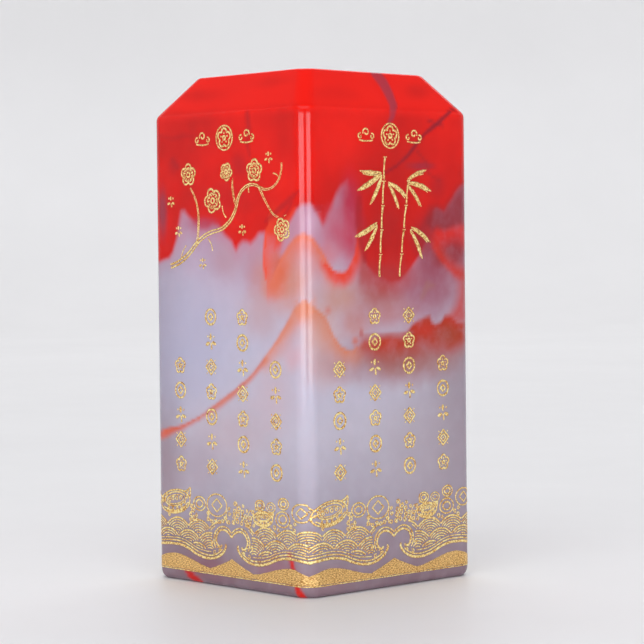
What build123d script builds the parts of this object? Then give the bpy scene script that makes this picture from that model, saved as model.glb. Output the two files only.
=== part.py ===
from build123d import *
import math
import os

# Stone block, in millimetres
width = 40.0
height = 88.0
edge_radius = 2.8
bevel_inset = 5.5
bevel_height = 6.9
ridge_radius = 2.2
crease_radius = 1.2
top_edge_radius = 0.8
foot_radius = 1.0

# Carved seal face underneath
seal_border = 1.6
seal_depth = 1.2
fret_width = 1.5
fret_gap = 1.4

# Engraved lines and their gold filling
fill_depth = 0.3
line_width = 0.25
bold_width = 0.4
line_gap = 0.15

# Border round the foot
foot_line_height = 1.85
fan_radius = 3.65
corner_fan_radius = 4.9
front_fan_pitch = 6.05
back_fan_pitch = 5.8
arc_pitch = 0.62
least_span = 0.5
coin_line_width = 0.3

# Columns of small ornaments, picture and heading above the border
column_foot = 20.5
column_step = 4.3
column_gap = 2.0
mark_radius = 1.45
picture_tall = 21.0
picture_gap = 1.2
heading_drop = 4.3
heading_radius = 2.2

half = width / 2
flat_half = half - edge_radius
right_angle = 90
full_turn = 360
mitre = flat_half + edge_radius * math.sin(math.radians(right_angle / 2))
mitre_depth = half - mitre
skin_depth = mitre_depth + fill_depth
heading_height = height - bevel_height - heading_drop
picture_top = heading_height - heading_radius - picture_gap
faces = ["front", "right", "back", "left"]

# Places on a face are shares of half the width: across from the middle of the pattern, then up
shift_shares = {"front": 0.04, "right": 0.005, "back": 0.04, "left": 0.005}
hill_peak_share, hill_low_share = (0, 0.25), (0.28, 0.143)
hill_hump_share, hill_corner_share = (0.75, 0.235), 0.18
crest_shares = [(0.74, 0.32), (0.5225, 0.275), (0.305, 0.23), (0.13, 0.283), (0.078, 0.343), (0.092, 0.37)]
crest_corner_share = 0.297
upper_crest_shares = [(0.74, 0.35), (0.5225, 0.305), (0.305, 0.2575), (0.165, 0.293), (0.122, 0.328)]
upper_corner_share = 0.327
scroll_shares = [(0, 0.4275), (0.11, 0.4925), (0.2025, 0.415), (0.16, 0.3425), (0.13, 0.3675)]
scroll_heading = 61
lobe_share, lobe_radius_share = (0.105, 0.4175), 0.115
fan_shares = {"low": (-0.4575, 0.17), "front": (-0.655, 0.27), "back": (-0.765, 0.37)}
fan_counts = {"low": 2, "front": 5, "back": 6}
corner_fan_share = 0.285

# Treasures: across, up, half height and kind, all as shares of half the width
border_stretch_share = 1.33
coin_shares = [
    (-0.42, 0.695, 0.064, "round"),
    (-0.19, 0.697, 0.1025, "square"),
    (0.365, 0.737, 0.046, "round"),
    (0.505, 0.73, 0.044, "round"),
    (0.66, 0.77, 0.05, "round"),
    (0.65, 0.64, 0.07, "round"),
    (0.865, 0.705, 0.08, "square"),
]
coin_hole_share = 0.5
ingot_shares = [(-0.735, 0.675, 0.19, 14), (0.405, 0.621, 0.125, 0)]
cloud_shares = [(-0.515, 0.6, 0.045), (0.045, 0.635, 0.055), (0.1975, 0.625, 0.03)]


def at(share, centre=0.0, foot=0.0):
    return (centre + share[0] * half, foot + share[1] * half)


def move(point, angle, distance):
    return (point[0] + distance * math.cos(angle), point[1] + distance * math.sin(angle))


# An arc is (start, end, first direction, turn), with angles in radians and left turns positive
def chain(points, heading):
    """Arcs through the points, each tangent to the one before, from a first heading in degrees."""
    arcs = []
    direction = math.radians(heading)
    for start, end in zip(points, points[1:]):
        chord = math.atan2(end[1] - start[1], end[0] - start[0])
        turn = 2 * math.remainder(chord - direction, math.tau)
        arcs.append((start, end, direction, turn))
        direction += turn
    return arcs


def bow(start, end, rise):
    """One arc that stands rise to the left of its chord at the middle."""
    chord = math.atan2(end[1] - start[1], end[0] - start[0])
    turn = -4 * math.atan2(2 * rise, math.dist(start, end))
    return (start, end, chord - turn / 2, turn)


def signed_radius(arc):
    start, end, direction, turn = arc
    return math.dist(start, end) / (2 * math.sin(turn / 2))


def centre_of(arc):
    return move(arc[0], arc[2] + math.pi / 2, signed_radius(arc))


def beside(arc, aside):
    """Start, middle and end of the arc moved aside to its left."""
    start, end, direction, turn = arc
    radius, centre = signed_radius(arc), centre_of(arc)
    return [move(centre, direction + share * turn - math.pi / 2, radius - aside) for share in (0, 1 / 2, 1)]


def ribbon(arcs, breadth):
    """A band of even breadth along tangent arcs, square at both ends."""
    left = [beside(arc, breadth / 2) for arc in arcs]
    right = [beside(arc, -breadth / 2) for arc in arcs]
    edges = [ThreePointArc(*points) for points in left + right]
    edges.append(Line(left[0][0], right[0][0]))
    edges.append(Line(left[-1][-1], right[-1][-1]))
    return make_face(edges)


def leaf(start, end, left_rise, right_rise):
    """A pointed shape between two arcs."""
    edges = [ThreePointArc(*beside(bow(start, end, rise), 0)) for rise in (left_rise, right_rise)]
    return make_face(edges)


def arc_band(centre, radius, first, last, breadth):
    """Part of a ring, between two angles in degrees."""
    start = move(centre, math.radians(first), radius - breadth / 2)
    direction = math.radians(first) + math.pi / 2
    turn = math.radians(last - first)
    end = move(centre, math.radians(last), radius - breadth / 2)
    return ribbon([(start, end, direction, turn)], breadth)


def oval_ring(centre, across, up, breadth):
    ring = Ellipse(across, up) - Ellipse(across - breadth, up - breadth)
    return Pos(*centre) * ring


def diamond(centre, across, up):
    corners = [(across, 0), (0, up), (-across, 0), (0, -up)]
    return Pos(*centre) * make_face(Polyline(*corners, close=True))


def diamond_ring(centre, across, up, breadth):
    shrink = 1 - breadth * math.hypot(across, up) / (across * up)
    return diamond(centre, across, up) - diamond(centre, across * shrink, up * shrink)


petals = 5
notch_share = 0.66


def flower_outline(centre, radius):
    """Five round petals that meet in notches."""
    step = math.tau / petals
    edges = []
    for k in range(petals):
        top = math.pi / 2 + k * step
        notches = [move(centre, top + side * step / 2, radius * notch_share) for side in (-1, 1)]
        edges.append(ThreePointArc(notches[0], move(centre, top, radius), notches[1]))
    return make_face(edges)


heart_share = 0.24


def flower(centre, radius):
    ring = flower_outline(centre, radius) - flower_outline(centre, radius - line_width)
    return [ring, Pos(*centre) * Circle(radius * heart_share)]


cloud_lobe_shares = [(0, 0.35, 0.6, -15, 195), (-1.05, -0.15, 0.4, 60, 300), (1.05, -0.15, 0.4, -120, 120)]


def cloud(centre, size):
    """Three curls; size is the half height."""
    curls = []
    for across, up, radius, first, last in cloud_lobe_shares:
        middle = (centre[0] + across * size, centre[1] + up * size)
        curls.append(arc_band(middle, radius * size + line_width / 2, first, last, line_width))
    return curls


sprig_angles = [90, 205, 335]
sprig_belly_share = 0.25


def sprig(centre, radius):
    """Three leaves round a point."""
    leaves = []
    for angle in sprig_angles:
        root = move(centre, math.radians(angle), line_width)
        tip = move(centre, math.radians(angle), radius)
        leaves.append(leaf(root, tip, radius * sprig_belly_share, -radius * sprig_belly_share))
    return leaves


def lozenge(centre, radius):
    core = radius * heart_share
    return [diamond_ring(centre, radius, radius, line_width), diamond(centre, core, core)]


def little_coin(centre, radius):
    round_part = Pos(*centre) * (Circle(radius) - Circle(radius - line_width))
    core = radius * heart_share
    return [round_part, diamond(centre, core * 2, core * 2)]


marks = [flower, lozenge, sprig, little_coin]
ingot_line_shares = [
    ((-0.97, 0.2), (0.97, 0.2), -0.65),
    ((-0.93, 0.31), (-0.46, 0.17), -0.05),
    ((0.46, 0.17), (0.93, 0.31), -0.05),
    ((-0.42, 0.22), (0.42, 0.22), 0.26),
    ((-0.7, 0.03), (0.7, 0.03), -0.25),
]


def ingot(centre, size, tilt):
    """A boat-shaped ingot: hull, two rims, dome and an inner line. size is half its length."""
    strokes = []
    turned = math.radians(tilt)
    for start, end, rise in ingot_line_shares:
        ends = []
        for across, up in (start, end):
            along = move(centre, turned, across * size)
            ends.append(move(along, turned + math.pi / 2, up * size))
        strokes.append(ribbon([bow(ends[0], ends[1], rise * size)], line_width))
    return strokes


def crest_arcs(shares, corner_share, centre, side):
    """The crest line from beyond the upright edge to its hook, on one side of the pattern."""
    points = [at(share) for share in shares]
    reach = mitre - side * centre
    hump = points[0]
    outer = chain([hump, (reach, corner_share * half)], 0)[0]
    turn = outer[3]
    start = outer[1]
    back = (start, hump, outer[2] + turn + math.pi, -turn)
    arcs = [back] + chain(points, 2 * right_angle)
    if side > 0:
        return [shifted(arc, centre) for arc in arcs]
    return [shifted(flipped(arc), centre) for arc in arcs]


def flipped(arc):
    start, end, direction, turn = arc
    return ((-start[0], start[1]), (-end[0], end[1]), math.pi - direction, -turn)


def shifted(arc, across):
    start, end, direction, turn = arc
    return ((start[0] + across, start[1]), (end[0] + across, end[1]), direction, turn)


def height_on(arcs, across):
    """Height of a chain of arcs at a place across the face."""
    for arc in arcs:
        low, high = sorted((arc[0][0], arc[1][0]))
        if low <= across <= high:
            radius, centre = abs(signed_radius(arc)), centre_of(arc)
            rise = math.sqrt(max(radius**2 - (across - centre[0]) ** 2, 0))
            return centre[1] + math.copysign(rise, arc[0][1] - centre[1])
    return 0.0


def fan_places(centre):
    """Middles of the fans, nearest row first, each with its radius."""
    low_pitch = -2 * fan_shares["low"][0] * half
    rows = {}
    for row, pitch in (("low", low_pitch), ("front", front_fan_pitch), ("back", back_fan_pitch)):
        first = at(fan_shares[row], centre)
        rows[row] = [(first[0] + k * pitch, first[1], fan_radius) for k in range(fan_counts[row])]
    for side in (-1, 1):
        rows["front"].append((side * mitre, corner_fan_share * half, corner_fan_radius))
    return rows


def clear_spans(fan, radius, hidden):
    """Angles, in degrees, at which an arc of the fan is not hidden by what lies before it."""
    spans, first = [], None
    for angle in range(full_turn // 2 + 1):
        point = move(fan[:2], math.radians(angle), radius)
        if hidden(point):
            if first is not None:
                spans.append((first, angle - 1))
            first = None
        elif first is None:
            first = angle
    if first is not None:
        spans.append((first, full_turn // 2))
    return [span for span in spans if math.radians(span[1] - span[0]) * radius > least_span]


def wave_fans(centre):
    """Overlapping fans of arcs, cut where a nearer fan, the crest or the scroll covers them."""
    crests = [crest_arcs(upper_crest_shares, upper_corner_share, centre, side)[:-1] for side in (-1, 1)]
    scroll_top = max(up for across, up in scroll_shares) * half
    lobes = [at((side * lobe_share[0], lobe_share[1]), centre) for side in (-1, 1)]
    room = line_width + line_gap
    rows = fan_places(centre)
    nearer = []
    arcs = []

    def hidden(point):
        if abs(point[0]) > half - room:
            return True
        if any(math.dist(point, lobe) < lobe_radius_share * half + room for lobe in lobes):
            return True
        if any(math.dist(point, fan[:2]) < fan[2] + room for fan in nearer):
            return True
        across = min(max(point[0], -mitre), mitre)
        cover = max(height_on(crest, across) for crest in crests)
        return point[1] < (cover or scroll_top) + room

    for row in ("low", "front", "back"):
        own_corner = [fan for fan in rows[row] if abs(fan[0]) >= mitre]
        plain = [fan for fan in rows[row] if abs(fan[0]) < mitre]
        for group in (own_corner, plain):
            for fan in group:
                count = round(fan[2] / arc_pitch) - 1
                for k in range(count):
                    radius = fan[2] - k * arc_pitch
                    for first, last in clear_spans(fan, radius, hidden):
                        arcs.append(arc_band(fan[:2], radius, first, last, line_width))
                if row != "back":
                    nearer.append(fan)
    return arcs


def hill_profile(centre):
    """The hill band seen square on: a straight foot, a low at each side of the peak and a hump."""
    foot = foot_line_height + line_width + line_gap
    edges = []
    for side in (-1, 1):
        low, hump = at(hill_low_share), at(hill_hump_share)
        reach = mitre - side * centre
        middle = ((low[0] + hump[0]) / 2, (low[1] + hump[1]) / 2)
        corner = (reach, hill_corner_share * half)
        outward = chain([low, middle, hump, corner], 0)
        inward = chain([low, at(hill_peak_share)], 2 * right_angle)
        arcs = inward + outward
        if side < 0:
            arcs = [flipped(arc) for arc in arcs]
        arcs = [shifted(arc, centre) for arc in arcs]
        edges += [ThreePointArc(*beside(arc, 0)) for arc in arcs]
        edges.append(Line(arcs[-1][1], (side * half, arcs[-1][1][1])))
        edges.append(Line((side * half, arcs[-1][1][1]), (side * half, foot)))
    edges.append(Line((-half, foot), (half, foot)))
    return make_face(edges)


def scroll_line(centre):
    """The cusped line over the opening in the middle, curled in at both ends."""
    points = [at(share) for share in scroll_shares]
    arcs = chain(points, scroll_heading)
    right = [shifted(arc, centre) for arc in arcs]
    left = [shifted(flipped(arc), centre) for arc in arcs]
    return [ribbon(right, line_width) + ribbon(left, line_width)]


def coins(centre):
    parts = []
    for across, up, rise, kind in coin_shares:
        middle = at((across, up), centre)
        tall, wide = rise * half, rise * half * border_stretch_share
        parts.append(oval_ring(middle, wide, tall, coin_line_width))
        inner_tall, inner_wide = tall * coin_hole_share, wide * coin_hole_share
        if kind == "round":
            parts.append(oval_ring(middle, inner_wide, inner_tall, line_width))
        else:
            parts.append(diamond_ring(middle, inner_wide, inner_tall, line_width))
    return parts


def ingots(centre):
    parts = []
    for across, up, size, tilt in ingot_shares:
        parts += ingot(at((across, up), centre), size * half, tilt)
    return parts


def clouds(centre):
    parts = []
    for across, up, size in cloud_shares:
        parts += cloud(at((across, up), centre), size * half)
    return parts


column_shares = [-0.62, -0.205, 0.205, 0.62]
column_short = [2, 0, 0, 2]


def columns(k):
    """Upright rows of small ornaments, a longer pair in the middle."""
    room = picture_top - picture_tall - column_gap - column_foot
    most = 1 + math.floor(room / column_step)
    parts = []
    for n, across in enumerate(column_shares):
        for row in range(most - column_short[n]):
            centre = (across * half, column_foot + row * column_step)
            parts += marks[(row + n + k) % len(marks)](centre, mark_radius)
    return parts


heading_cloud_share, heading_cloud_size_share = 2.6, 0.6


def heading():
    """A flower medallion between two clouds, under the bevel."""
    centre = (0.0, heading_height)
    parts = [Pos(*centre) * (Circle(heading_radius) - Circle(heading_radius - line_width))]
    parts += flower(centre, heading_radius - line_width - line_gap)
    for side in (-1, 1):
        across = side * heading_cloud_share * heading_radius
        parts += cloud((across, heading_height), heading_radius * heading_cloud_size_share)
    return parts


# Pictures: shares of half the width, across from the middle, then down from the top of the picture
plum_branch_shares = [
    [(-0.74, -0.92), (-0.42, -0.76), (-0.12, -0.62), (0.16, -0.38), (0.44, -0.26), (0.72, -0.06)],
    [(-0.38, -0.75), (-0.35, -0.5), (-0.46, -0.24)],
    [(0.14, -0.4), (0.1, -0.2), (-0.02, -0.1)],
    [(0.44, -0.26), (0.58, -0.46), (0.78, -0.5)],
]
plum_headings = [10, 75, 115, 300]
plum_flower_shares = [
    (-0.48, -0.13, 0.1), (-0.16, -0.36, 0.11), (0.02, -0.12, 0.08), (0.38, -0.12, 0.1), (0.72, -0.62, 0.1),
]
bud_size_share = 0.68
plum_bud_shares = [(-0.62, -0.62), (-0.3, -0.9), (0.22, -0.62), (0.56, -0.02), (-0.72, -0.36)]

bamboo_stem_shares = [((-0.14, -1.03), (-0.06, 0), 5), ((0.1, -1.03), (0.22, -0.2), 4)]
bamboo_belly_share = 0.09
bamboo_leaf_shares = [
    (-0.1, -0.14, 208, 0.34), (-0.1, -0.16, 240, 0.3), (-0.11, -0.14, 178, 0.26),
    (-0.03, -0.22, 330, 0.28), (-0.03, -0.23, 300, 0.26), (0.2, -0.2, 20, 0.26),
    (0.21, -0.22, 345, 0.3), (0.2, -0.24, 312, 0.26), (-0.16, -0.56, 205, 0.3),
    (-0.16, -0.58, 235, 0.28), (0.24, -0.6, 330, 0.28), (0.23, -0.62, 300, 0.3),
]

orchid_leaf_shares = [
    ((-0.075, -1), (-0.7, -0.62), 0.16),
    ((-0.045, -1), (-0.62, -0.2), 0.14),
    ((-0.015, -1), (-0.22, -0.02), 0.1),
    ((0.015, -1), (0.3, -0.06), -0.1),
    ((0.045, -1), (0.66, -0.28), -0.16),
    ((0.075, -1), (0.72, -0.7), -0.16),
]
orchid_flower_shares = [(-0.34, -0.1, 0.12), (0.44, -0.06, 0.12)]
orchid_blade_share = 0.03
orchid_petal_belly_share = 0.16

daisy_shares = [(-0.2, -0.28, 0.26), (0.34, -0.44, 0.2)]
daisy_stem_shares = [
    [(-0.2, -0.28), (-0.1, -0.7), (-0.02, -1.02)],
    [(0.34, -0.44), (0.2, -0.78), (0.0, -1.0)],
]
daisy_headings = [270, 260]
daisy_leaf_shares = [
    (-0.12, -0.7, 160, 0.32), (-0.06, -0.84, 200, 0.3), (0.16, -0.86, 340, 0.34), (0.28, -0.74, 10, 0.3),
]
daisy_petals = 14
petal_root_share = 0.34
daisy_petal_belly_share, daisy_leaf_belly_share = 0.13, 0.16


def merged(parts):
    return parts[0] + parts[1:]


def on_picture(share):
    return at(share, foot=picture_top)


def blade(root, angle, length, fullness):
    tip = move(root, math.radians(angle), length)
    return leaf(root, tip, length * fullness, -length * fullness)


def plum():
    """A branch with twigs, open flowers and buds."""
    branch = merged([
        ribbon(chain([on_picture(share) for share in shares], heading), bold_width)
        for shares, heading in zip(plum_branch_shares, plum_headings)
    ])
    blooms = []
    for across, down, size in plum_flower_shares:
        centre = on_picture((across, down))
        branch -= Pos(*centre) * Circle(size * half + line_gap)
        blooms += flower(centre, size * half)
    for share in plum_bud_shares:
        blooms += sprig(on_picture(share), mark_radius * bud_size_share)
    return [merged([branch] + blooms)]


def bamboo():
    """Two jointed stems with hanging leaves."""
    parts = []
    for foot, top, joints in bamboo_stem_shares:
        start, end = on_picture(foot), on_picture(top)
        for k in range(joints):
            ends = [[a + (b - a) * (k + step) / joints for a, b in zip(start, end)] for step in (0, 1)]
            angle = math.atan2(end[1] - start[1], end[0] - start[0])
            ends[1] = move(ends[1], angle, -line_gap * 2)
            parts.append(ribbon([bow(ends[0], ends[1], line_gap)], bold_width))
    for across, down, angle, length in bamboo_leaf_shares:
        parts.append(blade(on_picture((across, down)), angle, length * half, bamboo_belly_share))
    return [merged(parts)]


def orchid():
    """Long arching leaves and two flowers."""
    parts = []
    for root, tip, rise in orchid_leaf_shares:
        thin = (rise - math.copysign(orchid_blade_share, rise)) * half
        parts.append(leaf(on_picture(root), on_picture(tip), rise * half, thin))
    for across, down, size in orchid_flower_shares:
        for k in range(petals):
            angle = right_angle + k * full_turn / petals
            root = move(on_picture((across, down)), math.radians(angle), line_width)
            parts.append(blade(root, angle, size * half, orchid_petal_belly_share))
    return [merged(parts)]


def chrysanthemum():
    """Two many-petalled flowers on bent stems, with leaves."""
    stems = merged([
        ribbon(chain([on_picture(share) for share in shares], heading), bold_width)
        for shares, heading in zip(daisy_stem_shares, daisy_headings)
    ])
    parts = []
    for across, down, size in daisy_shares:
        centre = on_picture((across, down))
        stems -= Pos(*centre) * Circle(size * half + line_gap)
        parts.append(Pos(*centre) * Circle(size * half * petal_root_share - line_gap))
        for k in range(daisy_petals):
            angle = k * full_turn / daisy_petals
            root = move(centre, math.radians(angle), size * half * petal_root_share)
            parts.append(blade(root, angle, size * half * (1 - petal_root_share), daisy_petal_belly_share))
    for across, down, angle, length in daisy_leaf_shares:
        parts.append(blade(on_picture((across, down)), angle, length * half, daisy_leaf_belly_share))
    return [merged([stems] + parts)]


pictures = {"front": plum, "right": bamboo, "back": orchid, "left": chrysanthemum}


def stone():
    """The plain block: a rounded square, a bevelled top and softened edges."""
    foot = RectangleRounded(width, width, edge_radius)
    shoulder = height - bevel_height
    top_width = width - 2 * bevel_inset
    top = Pos(0, 0, height) * RectangleRounded(top_width, top_width, ridge_radius)
    body = extrude(foot, shoulder)
    cap = loft([Pos(0, 0, shoulder) * foot, top], ruled=True)
    block = body + cap
    block = fillet(edges_at(block, shoulder), crease_radius)
    block = fillet(edges_at(block, height), top_edge_radius)
    return fillet(edges_at(block, 0), foot_radius)


def edges_at(block, level):
    """The edges that lie flat at one level."""
    near = line_gap
    flat = [edge for edge in block.edges() if edge.bounding_box().size.Z < near]
    return [edge for edge in flat if abs(edge.center().Z - level) < near]


def seal_face_cutter():
    """What is carved away underneath: a square field round four hooked frets and a middle square."""
    field = width - 2 * (foot_radius + seal_border)
    ground = Rectangle(field, field)
    inner = field / 2 - fret_gap
    step = fret_width + fret_gap
    near = fret_gap / 2
    points = [
        (near, near + step),
        (near, inner),
        (inner, inner),
        (inner, near),
        (near + step, near),
        (near + step, inner - step),
        (inner - step, inner - step),
    ]
    spine = Polyline(*[inset(point, near, inner) for point in points])
    fret = trace(spine, fret_width)
    for k in range(len(faces)):
        ground -= Rot(0, 0, k * right_angle) * fret
    ground -= Rectangle(fret_gap, fret_gap)
    return extrude(ground, seal_depth)


def inset(point, low, high):
    """Keeps the middle line of a fret half its width inside its outline."""
    return tuple(min(max(value, low + fret_width / 2), high - fret_width / 2) for value in point)


def skin_sector():
    """The filled layer of the front face and half of both its upright edges."""
    outer = RectangleRounded(width, width, edge_radius)
    inner = RectangleRounded(width - 2 * fill_depth, width - 2 * fill_depth, edge_radius - fill_depth)
    wedge = make_face(Polyline((0, 0), (-width, -width), (width, -width), close=True))
    return extrude((outer - inner) & wedge, half)


front_plane = Plane(origin=(0, -half, 0), x_dir=(1, 0, 0), z_dir=(0, -1, 0))


def inlaid(parts, skin, k):
    """Gold filling of outlines on face k, wrapped round the upright edges where it reaches them."""
    solids = []
    for part in parts:
        box = part.bounding_box()
        if max(abs(box.min.X), abs(box.max.X)) <= flat_half:
            solids += extrude(front_plane * part, -fill_depth).solids()
        else:
            solids += (extrude(front_plane * part, -skin_depth) & skin).solids()
    return [Rot(0, 0, k * right_angle) * solid for solid in solids]


def foot_line():
    ring = RectangleRounded(width, width, edge_radius)
    ring -= RectangleRounded(width - 2 * fill_depth, width - 2 * fill_depth, edge_radius - fill_depth)
    return extrude(Pos(0, 0, foot_line_height) * ring, line_width)


def gold_nodes():
    skin = skin_sector()
    nodes = {"foot_line": [foot_line()], "hill_band": []}
    crests = {}
    for k, name in enumerate(faces):
        centre = shift_shares[name] * half
        nodes["hill_band"] += inlaid([hill_profile(centre)], skin, k)
        for side in (-1, 1):
            bold = ribbon(crest_arcs(crest_shares, crest_corner_share, centre, side), bold_width)
            fine = ribbon(crest_arcs(upper_crest_shares, upper_corner_share, centre, side), line_width)
            crests[name, side] = [inlaid([line], skin, k) for line in (bold, fine)]
        for label, parts in {
            "wave_fans": wave_fans(centre),
            "scroll_line": scroll_line(centre),
            "coins": coins(centre),
            "ingots": ingots(centre),
            "clouds": clouds(centre),
            "picture": pictures[name](),
            "heading": heading(),
            "columns": columns(k),
        }.items():
            nodes[f"{name}_{label}"] = inlaid(parts, skin, k)
    for k, name in enumerate(faces):
        following = faces[(k + 1) % len(faces)]
        pairs = zip(crests[name, 1], crests[following, -1])
        nodes[f"crest_{name}_{following}"] = [Part() + here + there for here, there in pairs]
    nodes["hill_band"] = [Part() + nodes["hill_band"]]
    return nodes


os.makedirs("parts", exist_ok=True)
gold = gold_nodes()
fillings = [solid for solids in gold.values() for piece in solids for solid in piece.solids()]
print("fillings", len(fillings))
export_step(stone() - seal_face_cutter() - fillings, "parts/stone_block.step")
for name, pieces in gold.items():
    solids = [solid for piece in pieces for solid in piece.solids()]
    export_step(Compound(children=solids) if len(solids) > 1 else solids[0], f"parts/{name}.step")
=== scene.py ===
# Engraved seal stone: polished red and white stone with gold laid into its carving
import itertools
import math
import bmesh
import bpy
import numpy as np
from mathutils import Matrix, Vector


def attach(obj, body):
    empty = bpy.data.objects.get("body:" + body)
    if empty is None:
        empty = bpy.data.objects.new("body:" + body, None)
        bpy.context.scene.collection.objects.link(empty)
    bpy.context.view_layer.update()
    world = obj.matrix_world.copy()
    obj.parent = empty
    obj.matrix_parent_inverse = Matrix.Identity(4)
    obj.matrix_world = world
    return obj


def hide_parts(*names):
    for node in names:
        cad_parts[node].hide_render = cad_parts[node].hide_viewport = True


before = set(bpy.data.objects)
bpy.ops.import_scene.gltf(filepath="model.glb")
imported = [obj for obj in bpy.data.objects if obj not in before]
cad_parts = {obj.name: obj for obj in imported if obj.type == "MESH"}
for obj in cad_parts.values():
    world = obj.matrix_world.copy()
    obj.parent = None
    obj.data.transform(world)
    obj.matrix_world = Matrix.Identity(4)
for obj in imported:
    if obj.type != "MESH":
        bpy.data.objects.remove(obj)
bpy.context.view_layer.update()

mm = 0.001
faceNames = ["front", "right", "back", "left"]
quarterTurns = [(1, 0), (0, 1), (-1, 0), (0, -1)]    # cosine and sine of each face's turn from the front

block = {
    "half": 20.0,                # half the width across the flats, mm
    "height": 88.0,
    "edgeRadius": 2.8,
    "bevelInset": 5.5,
    "bevelHeight": 6.9,
    "ridgeRadius": 2.2,
    "creaseRun": (0.42, 0.75),   # softened length beside the shoulder: on the flats, at the upright edges
    "topRun": (0.38, 0.6),       # the same beside the ridge of the top
    "footRadius": (1.0, 1.6),    # the same for the round of the foot
    "polishedBack": 0.07,        # the polished skin lies this far under the tops of the gold
    "edgeSteps": 14, "flatSteps": 74,
    "seam": 0.004,               # share of a flat between its end and the column beside it
    "footSteps": 8, "sideSteps": 149, "creaseSteps": 10, "bevelSteps": 13, "ridgeSteps": 8, "topSteps": 43,
}
half = block["half"]
flatHalf = half - block["edgeRadius"]
mitre = flatHalf + block["edgeRadius"] * math.sin(math.pi / 4)
shoulder = block["height"] - block["bevelHeight"]


noiseCode = {
    "seed": 374761393, "axes": (73856093, 19349663, 83492791), "mix": ((13, 1274126177), (15, 668265263)),
}


def smooth(x, low, high):
    # 0 below low, 1 above high, an S curve between
    t = np.clip((x - low) / (high - low), 0, 1)
    return t * t * (3 - 2 * t)


def latticeNoise(points, size, seed):
    # random heights at the corners of cubes of this size, blended smoothly in between, from -1 to 1
    cells = np.asarray(points, float) / size
    low = np.floor(cells).astype(np.int64)
    blend = smooth(cells - low, 0, 1)
    total = np.zeros(len(cells))
    for corner in itertools.product((0, 1), repeat=cells.shape[1]):
        place = low + np.array(corner)
        code = np.full(len(cells), seed * noiseCode["seed"], np.int64)
        for along, prime in zip(place.T, noiseCode["axes"]):
            code ^= along * prime
        for shift, factor in noiseCode["mix"]:
            code = (code ^ (code >> shift)) * factor & 0xFFFFFFFF
        code ^= code >> noiseCode["mix"][0][0]
        weight = np.prod(np.where(np.array(corner) == 1, blend, 1 - blend), axis=1)
        total += weight * code / 2**32
    return 2 * total - 1


def layeredNoise(points, size, seed, layers=3):
    # each layer is half the size and half the height of the one before
    total = sum(latticeNoise(points, size / 2**k, seed + k) / 2**k for k in range(layers))
    return total / (2 - 2 ** (1 - layers))


def meshPiece(name, points, quads, values=None):
    # points in millimetres; four corner numbers to a face; values are one number or colour to a point
    mesh = bpy.data.meshes.new(name)
    points = np.asarray(points, float) * mm
    quads = np.asarray(quads, int)
    mesh.vertices.add(len(points))
    mesh.vertices.foreach_set("co", points.ravel())
    mesh.loops.add(quads.size)
    mesh.loops.foreach_set("vertex_index", quads.ravel())
    mesh.polygons.add(len(quads))
    mesh.polygons.foreach_set("loop_start", np.arange(len(quads)) * 4)
    mesh.update(calc_edges=True)
    mesh.validate()
    for label, numbers in (values or {}).items():
        kind = "FLOAT" if np.ndim(numbers) == 1 else "FLOAT_COLOR"
        layer = mesh.attributes.new(label, kind, "POINT")
        layer.data.foreach_set("value" if kind == "FLOAT" else "color", np.ravel(numbers))
    piece = bpy.data.objects.new(name, mesh)
    bpy.context.collection.objects.link(piece)
    return piece


def tubeQuads(rings, size, joined=False):
    # faces between the neighbouring rings of a tube; each ring joins up, and the tube too where joined
    a, b = np.arange(rings if joined else rings - 1)[:, None], np.arange(size)[None, :]
    nextA, nextB = (a + 1) % rings, (b + 1) % size
    corners = [a * size + b, nextA * size + b, nextA * size + nextB, a * size + nextB]
    return np.stack(corners, axis=-1).reshape(-1, 4)


def closeUp(piece, gap=2e-6, fill=False):
    # joins the points that lie together, fills what is still open if asked, and turns the faces outwards
    work = bmesh.new()
    work.from_mesh(piece.data)
    bmesh.ops.remove_doubles(work, verts=work.verts, dist=gap)
    bmesh.ops.dissolve_degenerate(work, edges=work.edges, dist=gap)
    bmesh.ops.recalc_face_normals(work, faces=work.faces)
    if fill:
        openEdges = [edge for edge in work.edges if edge.is_boundary]
        bmesh.ops.triangle_fill(work, use_beauty=True, use_dissolve=False, edges=openEdges)
        bmesh.ops.recalc_face_normals(work, faces=work.faces)
    work.to_mesh(piece.data)
    work.free()
    piece.data.shade_smooth()
    piece.data.update()


print("stage: helpers ready")


def tone(colour):
    # a screen colour, three numbers from 0 to 255, as the light it stands for, with full cover
    share = np.array(colour) / 255
    return (*np.where(share <= 0.04045, share / 12.92, ((share + 0.055) / 1.055) ** 2.4), 1.0)


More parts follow.
